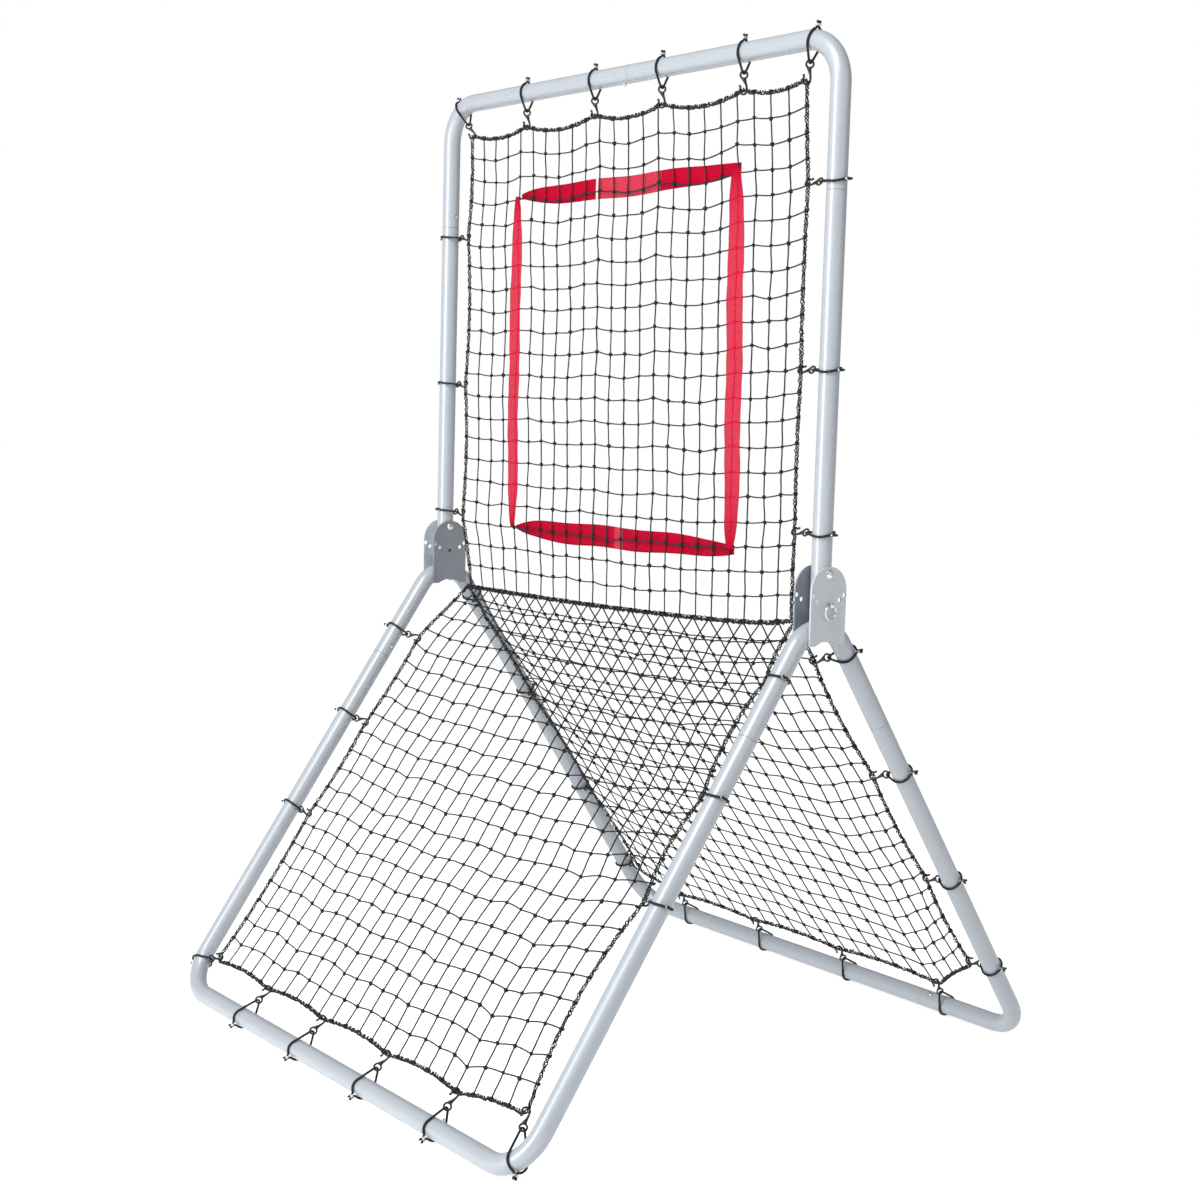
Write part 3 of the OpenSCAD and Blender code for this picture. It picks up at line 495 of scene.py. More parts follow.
class NetPlane:
    """Where a net lies: its middle on the hinge rope, its way down or up, and the way it sags.
    The hinge rope's own sag fades out over a length at the side ropes and another in the middle."""

    def __init__(self, away, half, belly, side_fade, middle_fade):
        self.away = away.normalized()
        self.facing = ACROSS.cross(self.away).normalized()
        self.half, self.belly = half, belly
        self.side_fade, self.middle_fade = side_fade, middle_fade

    def at(self, place, out=0.0):
        u = min(max(place[0] / (2 * self.half) + 0.5, 0), 1)
        middle = min(1, 6 * u * (1 - u))
        fade = self.side_fade + (self.middle_fade - self.side_fade) * middle
        drop = hinge_sag(u) * max(0, 1 - place[1] / fade)
        pinch = HINGE_PINCH * (1 - u) ** 4 * max(0, 1 - place[1] / PINCH_FADE)
        flat = hinge_middle + ACROSS * (place[0] + pinch) + self.away * place[1] - UP * drop
        return flat + self.facing * out


def lower_spot(side, hand, s):
    """How far down its net a leg's hook holds the side rope, for a tie at a length on the leg."""
    on_leg = apex + down(side) * s + ACROSS * hand * lower_half
    root = Vector((on_leg.x, 0, hinge_z))
    run = foot_rope(side) - hinge_middle
    share = (on_leg - root).dot(down(side)) / run.dot(down(side))
    exact = hook_spot(SIDE_NAME[side] + "_hooks", root + run * share, down(side))
    return run.length * (exact - root.dot(down(side))) / run.dot(down(side))


SIDE_NAME = {FRONT: "front", REAR: "rear"}
upper_half = side_x - UPPER_MARGIN
upper_far = top_z - TOP_MARGIN - hinge_z
lower_half = side_x - LEG_MARGIN


def upright_spot(hand, height):
    near = Vector((hand * upper_half, 0, pivot_z + height))
    return hook_spot("upper_hooks", near, UP) - hinge_z


def top_spot(x):
    return hook_spot("upper_hooks", Vector((x, 0, top_z - TOP_MARGIN)), ACROSS)


def bar_spot(side, x):
    return hook_spot(SIDE_NAME[side] + "_hooks", foot_rope(side) + ACROSS * x, ACROSS)


def corner_spot(half, far, hand, degrees):
    """Where a hook holds a rounded corner, at an angle from level."""
    a = math.radians(degrees)
    return Vector((hand * (half - ROPE_CORNER * (1 - math.cos(a))),
                   far - ROPE_CORNER * (1 - math.sin(a))))


upper_spots = {hand: [upright_spot(hand, h) for h in UPRIGHT_TIES[hand]] for hand in (LEFT, RIGHT)}
top_spots = [top_spot(x) for x in TOP_TIES]
hooks = [Vector((hand * upper_half, v)) for hand in (LEFT, RIGHT) for v in upper_spots[hand]]
hooks += [Vector((x, upper_far)) for x in top_spots]
corners = [corner_spot(upper_half, upper_far, h, UPPER_CORNERS[h]) for h in (LEFT, RIGHT)]
upper_turns = [Vector((-upper_half, 0)), Vector((-upper_half, upper_spots[LEFT][-1])),
               corners[0] + Vector((-1, 1)) * UPPER_CORNER * CORNER_CUT,
               corners[1] + Vector((1, 1)) * UPPER_CORNER * CORNER_CUT,
               Vector((upper_half, upper_spots[RIGHT][-1])), Vector((upper_half, 0))]
upper_edge = NetEdge(upper_turns, hooks, corners, UPPER_DIPS, UPPER_CORNER)
upper_plane = NetPlane(UP, upper_half, UPPER_BELLY, PINCH_FADE, PINCH_FADE)
lower_far = (foot_rope(FRONT) - hinge_middle).length
leg_spots = {key: [lower_spot(*key, s) for s in LEG_TIES[key]] for key in LEG_TIES}
bar_spots = {side: [bar_spot(side, x) for x in BAR_TIES[side]] for side in (FRONT, REAR)}
bar_hooks = {side: [x + lean for x, lean in zip(bar_spots[side], BAR_LEANS[side])]
             for side in (FRONT, REAR)}


def cut_turns():
    """The turns of the rear net's rope, whose lower corners run from the legs to the foot bar."""
    sides = [leg_spots[REAR, hand][-1] + ROPE_CORNER for hand in (LEFT, RIGHT)]
    feet = bar_spots[REAR][0] - ROPE_CORNER, bar_spots[REAR][-1] + ROPE_CORNER
    return [Vector(p) for p in (
        (-lower_half, 0), (-lower_half, sides[0]), (feet[0], lower_far), (feet[1], lower_far),
        (lower_half, sides[1]), (lower_half, 0))]


def lower_edge(side):
    hooks = [Vector((hand * lower_half, v))
             for hand in (LEFT, RIGHT) for v in leg_spots[side, hand]]
    hooks += [Vector((x, lower_far)) for x in bar_hooks[side]]
    if side == REAR:
        ends = [Vector((hand * lower_half, leg_spots[REAR, hand][-1])) for hand in (LEFT, RIGHT)]
        return NetEdge(cut_turns(), hooks, ends, REAR_DIPS)
    ends = [corner_spot(lower_half, lower_far - FOOT_CORNER_RISE[hand], hand, FRONT_CORNERS[hand])
            for hand in (LEFT, RIGHT)]
    turns = [Vector(p) for p in (
        (-lower_half, 0), (-lower_half, lower_far), (bar_hooks[side][-1] + ROPE_CORNER, lower_far),
        (lower_half, lower_far - FOOT_CORNER_RISE[RIGHT]), (lower_half, 0))]
    return NetEdge(turns, hooks, ends, FRONT_DIPS)


lower_edges = {side: lower_edge(side) for side in (FRONT, REAR)}
lower_planes = {side: NetPlane(foot_rope(side) - hinge_middle, lower_half, LOWER_BELLY * side,
                               leg_spots[side, LEFT][0], lower_far) for side in (FRONT, REAR)}


def marked(tree, name, kind="FLOAT"):
    """A named attribute of the geometry."""
    return put(tree, "GeometryNodeInputNamedAttribute", {"Name": name}, data_type=kind).outputs[0]


def tube_skin(tree, curve, radius, sides, scale=1.0):
    """Gives a curve a round section, with a UV map of metres along it by turns round it."""
    spline = put(tree, "GeometryNodeSplineParameter")
    line = put(tree, "GeometryNodeStoreNamedAttribute",
               {"Geometry": curve, "Name": "along", "Value": spline.outputs["Length"]})
    circle = put(tree, "GeometryNodeCurvePrimitiveCircle", {"Resolution": sides, "Radius": radius})
    profile = put(tree, "GeometryNodeStoreNamedAttribute",
                  {"Geometry": circle.outputs[0], "Name": "round",
                   "Value": spline.outputs["Factor"]})
    skin = put(tree, "GeometryNodeCurveToMesh", {
        "Curve": line.outputs[0], "Profile Curve": profile.outputs[0], "Fill Caps": True,
        "Scale": scale})
    along, turn = marked(tree, "along"), marked(tree, "round")
    mean = put(tree, "GeometryNodeFieldOnDomain", {"Value": turn}, domain="FACE").outputs[0]
    # The last face round the section closes the turn: its corners at 0 belong at 1.
    seam = maths(tree, "GREATER_THAN", maths(tree, "SUBTRACT", mean, turn), SEAM_JUMP)
    chart = put(tree, "ShaderNodeCombineXYZ", {"X": along, "Y": maths(tree, "ADD", turn, seam)})
    mapped = put(tree, "GeometryNodeStoreNamedAttribute",
                 {"Geometry": skin.outputs[0], "Name": "UVMap", "Value": chart.outputs[0]},
                 data_type="FLOAT2", domain="CORNER")
    smooth = put(tree, "GeometryNodeSetShadeSmooth", {"Geometry": mapped.outputs[0]})
    return smooth.outputs[0]


rope_tree, given, result = new_group(
    "GeometryNodeTree", "laid rope",
    [("Geometry", "Geometry", None), ("Diameter", "Float", 0.006), ("Lay", "Float", 0.02),
     ("Strands", "Int", 3), ("Looseness", "Float", 0.5), ("Material", "Material", None)],
    [("Geometry", "Geometry")])
core = put(rope_tree, "GeometryNodeMeshToCurve", {"Mesh": given["Geometry"]})
even = put(rope_tree, "GeometryNodeResampleCurve",
           {"Curve": core.outputs[0], "Length": STRAND_STEP}, mode="LENGTH")
copies = put(rope_tree, "GeometryNodeDuplicateElements",
             {"Geometry": even.outputs[0], "Amount": given["Strands"]}, domain="SPLINE")
spline = put(rope_tree, "GeometryNodeSplineParameter")
laid = maths(rope_tree, "DIVIDE", spline.outputs["Length"], given["Lay"])
start = maths(rope_tree, "DIVIDE", copies.outputs["Duplicate Index"], given["Strands"])
angle = maths(rope_tree, "MULTIPLY", maths(rope_tree, "ADD", laid, start), math.tau)
normal = put(rope_tree, "GeometryNodeInputNormal").outputs[0]
tangent = put(rope_tree, "GeometryNodeInputTangent").outputs[0]
fullness = marked(rope_tree, "fullness")
swing = put(rope_tree, "ShaderNodeVectorRotate",
            {"Vector": normal, "Axis": tangent, "Angle": angle}, rotation_type="AXIS_ANGLE")
wander = put(rope_tree, "ShaderNodeTexNoise", {
    "W": maths(rope_tree, "MULTIPLY", copies.outputs["Duplicate Index"], 5.3), "Scale": 150.0,
    "Detail": 1.0}, noise_dimensions="4D")
stray = put(rope_tree, "ShaderNodeVectorMath", {0: wander.outputs["Color"], 1: (0.5, 0.5, 0.5)},
            operation="SUBTRACT")
strand_way = put(rope_tree, "ShaderNodeVectorMath", {
    0: scaled(rope_tree, swing.outputs[0], STRAND_OUT),
    1: scaled(rope_tree, stray.outputs[0], given["Looseness"])}, operation="ADD")
offset = scaled(rope_tree, strand_way.outputs[0],
                maths(rope_tree, "MULTIPLY", fullness, given["Diameter"]))
strands = put(rope_tree, "GeometryNodeSetPosition",
              {"Geometry": copies.outputs[0], "Offset": offset})
lumps = put(rope_tree, "ShaderNodeTexNoise", {"Scale": 90.0, "Detail": 1.0})
swell = put(rope_tree, "ShaderNodeMapRange",
            {"Value": lumps.outputs["Fac"], "From Min": 0.3, "From Max": 0.7, "To Min": 0.78,
             "To Max": 1.2})
rope_skin = tube_skin(rope_tree, strands.outputs[0],
                      maths(rope_tree, "MULTIPLY", given["Diameter"], STRAND_R), 7,
                      maths(rope_tree, "MULTIPLY", fullness, swell.outputs[0]))
finish_tree(rope_tree, rope_skin, given["Material"], result)

yarn, given, result = new_group(
    "ShaderNodeTree", "spun yarn",
    [("Color", "Color", (0, 0, 0, 1)), ("Fuzz", "Color", (0, 0, 0, 1)), ("Pitch", "Float", 0.004),
     ("Turns", "Float", 1.0)],
    [("Color", "Color"), ("Height", "Float")])
chart = put(yarn, "ShaderNodeUVMap", uv_map="UVMap")
sides = put(yarn, "ShaderNodeSeparateXYZ", {0: chart.outputs[0]})
lean = maths(yarn, "ADD", maths(yarn, "DIVIDE", sides.outputs["X"], given["Pitch"]),
             maths(yarn, "MULTIPLY", sides.outputs["Y"], given["Turns"]))
ridge = maths(yarn, "ABSOLUTE", maths(yarn, "SINE", maths(yarn, "MULTIPLY", lean, math.pi)))
fluff_and_glints = speckle(yarn, 700.0, 3.0)


def blended(tree, share, one, other):
    """A mix of two colours, each a value or a socket."""
    mixed = put(tree, "ShaderNodeMix", {"Factor": share}, data_type="RGBA")
    sockets = [socket for socket in mixed.inputs if socket.type == "RGBA"]
    for socket, colour in zip(sockets, (one, other)):
        if isinstance(colour, bpy.types.NodeSocket):
            tree.links.new(colour, socket)
        else:
            socket.default_value = colour
    return next(socket for socket in mixed.outputs if socket.type == "RGBA")


# Painted highlight: the crests of the twist, broken up by noise, are mixed towards a paler grey.
yarn.links.new(blended(yarn, maths(yarn, "MULTIPLY", ridge, fluff_and_glints), given["Color"], given["Fuzz"]),
               result["Color"])
yarn.links.new(maths(yarn, "ADD", ridge, maths(yarn, "MULTIPLY", fluff_and_glints, 0.5)), result["Height"])


def spun(name, highlight, pitch, turns, roughness, depth):
    """Black yarn: twisted fibres that run round the cord at a slant, with a paler grey painted
    highlight on the crests of the twist, speckled by noise.
    """
    material, tree, shader = new_material(name, roughness=roughness)
    shader.inputs["Specular IOR Level"].default_value = YARN_SHEEN
    fibre = put(tree, "ShaderNodeGroup",
                {"Color": BLACK_YARN, "Fuzz": highlight, "Pitch": pitch, "Turns": turns}, node_tree=yarn)
    tree.links.new(fibre.outputs["Color"], shader.inputs["Base Color"])
    bump(tree, shader, fibre.outputs["Height"], depth)
    return material


border_rope = spun("border_rope", ROPE_HIGHLIGHT_GREY, 0.0024, 3.0, 0.55, 0.0003)


def rope_lengths(edge):
    """Lengths along a border rope, from end to end in even steps."""
    count = round(edge.length / ROPE_STEP)
    return [edge.length * i / count for i in range(count + 1)]


def rope_line(edge, plane):
    return [plane.at(edge.at(s)) for s in rope_lengths(edge)]


def rope_fullness(edge):
    """The share of its full thickness that a border rope has at each point: less where it is
    drawn tight along the sides than where it hangs between the hooks of the far side."""
    full = []
    for s in rope_lengths(edge):
        inside = min(s - edge.corners[0], edge.corners[1] - s) / ROPE_FADE
        full.append(ROPE_DRAWN + (1 - ROPE_DRAWN) * min(max(0.5 + inside, 0), 1))
    return full


def lay_rope(name, lines, diameter, lay, node=None, fullness=None):
    fullness = fullness or [1.0] * sum(len(line) for line in lines)
    rope = grow(line_mesh(name, lines, {"fullness": ("FLOAT", fullness)}), rope_tree,
                diameter=diameter, lay=lay, strands=3, looseness=ROPE_LOOSE, material=border_rope)
    if node:
        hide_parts(node)
    return rope


upper_rope = lay_rope("upper_border_rope", [rope_line(upper_edge, upper_plane)], ROPE_D, ROPE_LAY,
                      "upper_net_rope", rope_fullness(upper_edge))
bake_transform(upper_rope)
for side in (FRONT, REAR):
    name = SIDE_NAME[side]
    rope = lay_rope(name + "_border_rope", [rope_line(lower_edges[side], lower_planes[side])],
                    ROPE_D, ROPE_LAY, name + "_net_rope", rope_fullness(lower_edges[side]))
    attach(rope, "stand")


# Hinge rope: one more black rope straight across under the pivots, where the edges of all three
# nets lie together. A thinner cord is wound round the bundle from end to end and holds them.
HINGE_OVER = 0.003
HINGE_D, HINGE_LAY = 0.0072, 0.014
HINGE_STEPS = 300
LASH_D, LASH_LAY = 0.0024, 0.011
LASH_PITCH = 0.0135
LASH_R = 0.0041
LASH_STEPS = 12
LASH_SWELL, LASH_SWELL_OVER, LASH_UNEVEN = 0.10, 7.3, 0.05


def hinge_place(share):
    """A place on the hinge rope, at a share of its length from the left."""
    low, high = HINGE_PINCH - lower_half - HINGE_OVER, lower_half + HINGE_OVER
    return Vector((low + (high - low) * share, 0, hinge_z - hinge_sag(share)))


straight = [hinge_place(i / HINGE_STEPS) for i in range(HINGE_STEPS + 1)]
hinge = lay_rope("hinge_rope_bundle", [straight], HINGE_D, HINGE_LAY, "hinge_rope")
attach(hinge, "stand")
lash_steps = round(2 * lower_half / LASH_PITCH) * LASH_STEPS
wound = []
wander = random.Random(11)
for i in range(lash_steps + 1):
    turn = math.tau * i / LASH_STEPS
    swell = LASH_SWELL * math.sin(turn / LASH_SWELL_OVER)
    reach = LASH_R * (1 + swell + LASH_UNEVEN * wander.uniform(-1, 1))
    wound.append(hinge_place(i / lash_steps) + Vector((0, math.sin(turn), math.cos(turn))) * reach)
lashing = lay_rope("hinge_rope_lashing", [wound], LASH_D, LASH_LAY)
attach(lashing, "stand")


# Nets: black braided cord of about 2.5 mm, knotted by machine into squares of some 41 to 43 mm,
# and tied to the border ropes with a turn round the rope at each strand.
STRAND_D = 0.0025
KNOT = (0.0039, 0.0029, 0.0034)
KNOT_GRADES = (0.85, 1.15)
# The net's paler grey is a painted highlight on the crests of the yarn, used on the elastic cord
# too.
NET_HIGHLIGHT_GREY = (0.03, 0.03, 0.032, 1)
TURN_R = 0.0031
TURN_LENGTH = 0.0042
ROW_STEP, ROW_STEP_BACK, ROW_SAG = 0.0011, 0.55, 0.0009
COLUMN_SWAY = 0.0005
KNOT_STRAY = 0.0016
STRAY_SHARES = (0.55, 0.8)
RIPPLE = 0.0012
COLUMNS, LOWER_ROWS = 23, 21
UPPER_FOOT_ROW, UPPER_ROW = 0.036, 0.0414
UPPER_LEAN, UPPER_RISE, UPPER_SLUMP = 0.0125, 0.0275, 0.0065
LOWER_RISE = {FRONT: -0.02, REAR: 0}
CELL_STOPS = (0.0, 0.09, 0.36, 0.64, 0.91)

net_tree, given, result = new_group(
    "GeometryNodeTree", "knotted net",
    [("Geometry", "Geometry", None), ("Strand", "Float", 0.002), ("Knot Size", "Vector", KNOT),
     ("Turn Radius", "Float", 0.004), ("Seed", "Int", 3), ("Material", "Material", None)],
    [("Geometry", "Geometry")])
lines = put(net_tree, "GeometryNodeMeshToCurve", {"Mesh": given["Geometry"]})
strand_r = maths(net_tree, "MULTIPLY", given["Strand"], 0.5)
strand_skin = tube_skin(net_tree, lines.outputs[0], strand_r, 6)
ball = put(net_tree, "GeometryNodeMeshUVSphere", {"Segments": 8, "Rings": 6, "Radius": 1.0})
ball_place = put(net_tree, "GeometryNodeInputPosition").outputs[0]
dent = put(net_tree, "ShaderNodeTexNoise", {"Vector": ball_place, "Scale": 1.7, "Detail": 1.0})
push = scaled(net_tree, ball_place, maths(net_tree, "SUBTRACT", dent.outputs["Fac"], 0.5))
lump = put(net_tree, "GeometryNodeSetPosition", {"Geometry": ball.outputs[0], "Offset": push})
lump = put(net_tree, "GeometryNodeSetShadeSmooth", {"Geometry": lump.outputs[0]})
spin = put(net_tree, "FunctionNodeRandomValue",
           {0: (-0.5, -0.5, -0.5), 1: (0.5, 0.5, 0.5), "Seed": given["Seed"]},
           data_type="FLOAT_VECTOR")
grade = put(net_tree, "FunctionNodeRandomValue", {
    2: KNOT_GRADES[0], 3: KNOT_GRADES[1], "Seed": maths(net_tree, "ADD", given["Seed"], 1)},
    data_type="FLOAT")
knots = put(net_tree, "GeometryNodeInstanceOnPoints", {
    "Points": given["Geometry"], "Selection": marked(net_tree, "knot", "BOOLEAN"),
    "Instance": lump.outputs[0], "Rotation": spin.outputs[0],
    "Scale": scaled(net_tree, given["Knot Size"], grade.outputs[1])})
bound = put(net_tree, "GeometryNodeCurveSpiral", {
    "Resolution": 12, "Rotations": 1.7, "Start Radius": given["Turn Radius"],
    "End Radius": given["Turn Radius"], "Height": TURN_LENGTH})
middle = put(net_tree, "GeometryNodeTransform",
             {"Geometry": bound.outputs[0], "Translation": (0, 0, -TURN_LENGTH / 2)})
bound_skin = tube_skin(net_tree, middle.outputs[0], strand_r, 5)
aim = put(net_tree, "FunctionNodeAlignRotationToVector",
          {"Vector": marked(net_tree, "rope_way", "FLOAT_VECTOR")}, axis="Z")
tied = put(net_tree, "GeometryNodeInstanceOnPoints", {
    "Points": given["Geometry"], "Selection": marked(net_tree, "tied", "BOOLEAN"),
    "Instance": bound_skin, "Rotation": aim.outputs[0]})
whole = put(net_tree, "GeometryNodeJoinGeometry")
for part in (tied.outputs[0], knots.outputs[0], strand_skin):
    net_tree.links.new(part, whole.inputs[0])
finish_tree(net_tree, whole.outputs[0], given["Material"], result)

net_cord = spun("net_cord", NET_HIGHLIGHT_GREY, 0.0016, 2.0, 0.65, 0.0002)


def upper_settled(u, w):
    """How far the upper net has crept: across to the right, and up along its right side."""
    lean = UPPER_LEAN * math.cos(math.pi * w / 2) * (1 - (1 - u) ** 8) * (1 - u ** 20)
    rise = UPPER_RISE * u ** 5 * (1 - w) * min(1, 8 * w)
    slump = UPPER_SLUMP * math.sin(math.pi * u) * math.sin(math.pi * w ** 4)
    return Vector((lean, rise - slump))


def lower_settled(side):
    """The same for a lower net, of which only the right side has crept."""
    return lambda u, w: Vector((0, LOWER_RISE[side] * u ** 5 * math.sin(math.pi * w)))


class Mesh:
    """A net's strands: knots a little out of place on a patch, and lines from knot to knot."""

    def __init__(self, edge, plane, away, settled, seed):
        self.edge, self.plane, self.settled = edge, plane, settled
        self.rows = [v / away[-1] for v in away]
        draw = random.Random(seed)
        self.stray = {
            (i, j): Vector([draw.gauss(0, share) for share in STRAY_SHARES]) * KNOT_STRAY
            for i in range(COLUMNS + 1) for j in range(len(away))}

    def knot(self, i, j):
        u, w = i / COLUMNS, self.rows[j]
        place = self.edge.patch(u, w) + self.settled(u, w)
        inside = 0 < i < COLUMNS and 0 < j < len(self.rows) - 1
        return place + (self.stray[i, j] if inside else Vector((0, 0)))

    def out(self, place):
        """How far the net's own weight and slack take it out of its plane."""
        u = place[0] / (2 * self.edge.half) + 0.5
        w = place[1] / self.edge.far
        bulge = math.sin(math.pi * min(max(u, 0), 1)) * math.sin(math.pi * min(max(w, 0), 1))
        ripple = RIPPLE * math.sin(9 * u + 2) * math.sin(11 * w + 1)
        return self.plane.belly * bulge + ripple * bulge

    def point(self, place, lift=0.0):
        return self.plane.at(place, self.out(place) + lift)

    def line(self, ends):
        """Places from knot to knot, with the step that a knot gives each cross strand."""
        made, marks = [], []
        for k in range(len(ends) - 1):
            a, b = self.knot(*ends[k]), self.knot(*ends[k + 1])
            across = ends[0][1] == ends[-1][1]
            turn = 1 if (ends[k][0] + ends[k][1]) % 2 else -ROW_STEP_BACK
            for stop in CELL_STOPS:
                place = a.lerp(b, stop)
                if across and stop:
                    sag = ROW_SAG * 4 * stop * (1 - stop)
                    place.y += ROW_STEP * turn * (1 - 2 * stop) - sag
                elif stop:
                    place.x += COLUMN_SWAY * turn * math.sin(math.tau * stop)
                made.append(place)
                marks.append(not across and stop == 0 and k > 0)
        made.append(self.knot(*ends[-1]))
        marks.append(False)
        return made, marks

    def strands(self):
        last_row = len(self.rows) - 1
        for i in range(1, COLUMNS):
            yield self.line([(i, j) for j in range(last_row + 1)])
        for j in range(1, last_row):
            yield self.line([(i, j) for i in range(COLUMNS + 1)])

    def build(self, name, seed):
        lines, knots, tied, ways = [], [], [], []
        for places, marks in self.strands():
            lines.append([self.point(p) for p in places])
            knots += marks
            tied += [True] + [False] * (len(places) - 2) + [True]
            upright_strand = abs(places[0].x - places[-1].x) < abs(places[0].y - places[-1].y)
            way = ACROSS if upright_strand else self.plane.away
            ways += [way] * len(places)
        source = line_mesh(name, lines, {
            "knot": ("BOOLEAN", knots), "tied": ("BOOLEAN", tied),
            "rope_way": ("FLOAT_VECTOR", ways)})
        net = grow(source, net_tree, strand=STRAND_D, knot_size=KNOT,
                   turn_radius=TURN_R, seed=seed, material=net_cord)
        return net


upper_away = [0, UPPER_FOOT_ROW, 2 * UPPER_FOOT_ROW, 3 * UPPER_FOOT_ROW]
upper_away += [3 * UPPER_FOOT_ROW + UPPER_ROW * k for k in range(1, 19)]
upper_mesh = Mesh(upper_edge, upper_plane, upper_away, upper_settled, 5)
upper_net = upper_mesh.build("upper_knotted_net", 21)
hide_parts("upper_net")
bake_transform(upper_net)
for side, seed in ((FRONT, 7), (REAR, 9)):
    name = SIDE_NAME[side]
    mesh = Mesh(lower_edges[side], lower_planes[side], range(LOWER_ROWS + 1),
                lower_settled(side), seed)
    net = mesh.build(name + "_knotted_net", seed + 20)
    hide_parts(name + "_net")
    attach(net, "stand")


# Strike zone: red woven ribbon on four sides, gathered and knotted at the corners. The top and
# bottom runs lie behind the strands of a row and are partly double, where their ends turn back.
RIBBON_W, RIBBON_LEFT_W, RIBBON_RIGHT_W = 0.037, 0.033, 0.0385
RIBBON_T = 0.0003
RIBBON_BEHIND, RIBBON_BEFORE = -0.0042, 0.0042
RIBBON_LAYER = 0.0011
ZONE_LEFT, ZONE_RIGHT, ZONE_FOOT, ZONE_TOP = 4, 19, 3, 18
ZONE_NUDGES = {(ZONE_LEFT, ZONE_FOOT): (0.002, 0), (ZONE_RIGHT, ZONE_FOOT): (0.007, -0.005),
               (ZONE_LEFT, ZONE_TOP): (0, 0.0035), (ZONE_RIGHT, ZONE_TOP): (0.001, 0.006)}
RIBBON_STEP = 0.0045
RIBBON_CUTS = 10
SWAY, PLEAT, WRINKLE, CREASE = 0.0012, 0.0013, 0.0007, 0.0005
FOLD_NARROWER = 0.05
GATHER_SHADE, GATHER_SHADE_MOST = 1.1, 0.8
RIBBON_SHEEN = 0.06
WEAVE_PITCH = 0.0011
RIBBON_LIGHT = (0.65, 0.010, 0.050, 1)
# Deep red for doubled ribbon, made darker still as painted shade: the shade of a run lying behind
# the strands.
RIBBON_DOUBLED_AND_SHADED = (0.48, 0.001, 0.026, 1)

red_ribbon, tree, shader = new_material("red_ribbon", roughness=0.6)
shader.inputs["Specular IOR Level"].default_value = RIBBON_SHEEN
doubled = put(tree, "ShaderNodeAttribute", attribute_name="doubled").outputs["Fac"]
chart = put(tree, "ShaderNodeUVMap", uv_map="UVMap")
sides = put(tree, "ShaderNodeSeparateXYZ", {0: chart.outputs[0]})
warp, weft = (maths(tree, "SINE", maths(tree, "MULTIPLY", way, math.tau / WEAVE_PITCH))
              for way in (sides.outputs["X"], sides.outputs["Y"]))
weave = maths(tree, "MULTIPLY", warp, weft)
streak = maths(tree, "MULTIPLY", maths(tree, "SUBTRACT", speckle(tree, 60.0, 3.0), 0.5), 0.5)
# The colour goes towards the deep red where the ribbon is doubled, and as painted shade near its
# gathered ends.
tone = blended(tree, maths(tree, "ADD", doubled, streak), RIBBON_LIGHT, RIBBON_DOUBLED_AND_SHADED)
tree.links.new(tone, shader.inputs["Base Color"])
dense = maths(tree, "ADD", doubled, maths(tree, "MULTIPLY", weave, 0.1))
tree.links.new(ranged(tree, dense, 0.78, 0.95), shader.inputs["Alpha"])
bump(tree, shader, weave, 0.00012)


def ribbon_runs(span, folds, slit):
    """The stretches of a ribbon, as (from, to, layer): the run itself, and each turned-back end.
    The run is parted between the two lengths of the slit, where the ribbon's ends meet."""
    runs = [(0, slit[0], 0), (slit[1], span, 0)] if slit else [(0, span, 0)]
    if folds[0]:
        runs.append((0, folds[0], 1))
    if folds[1]:
        runs.append((span - folds[1], span, 1))
    return runs


def gathered(s, tip, taper):
    """The share of its full width that a ribbon has at a distance from a gathered end."""
    return tip + (1 - tip) * (1 - math.exp(-s / taper))


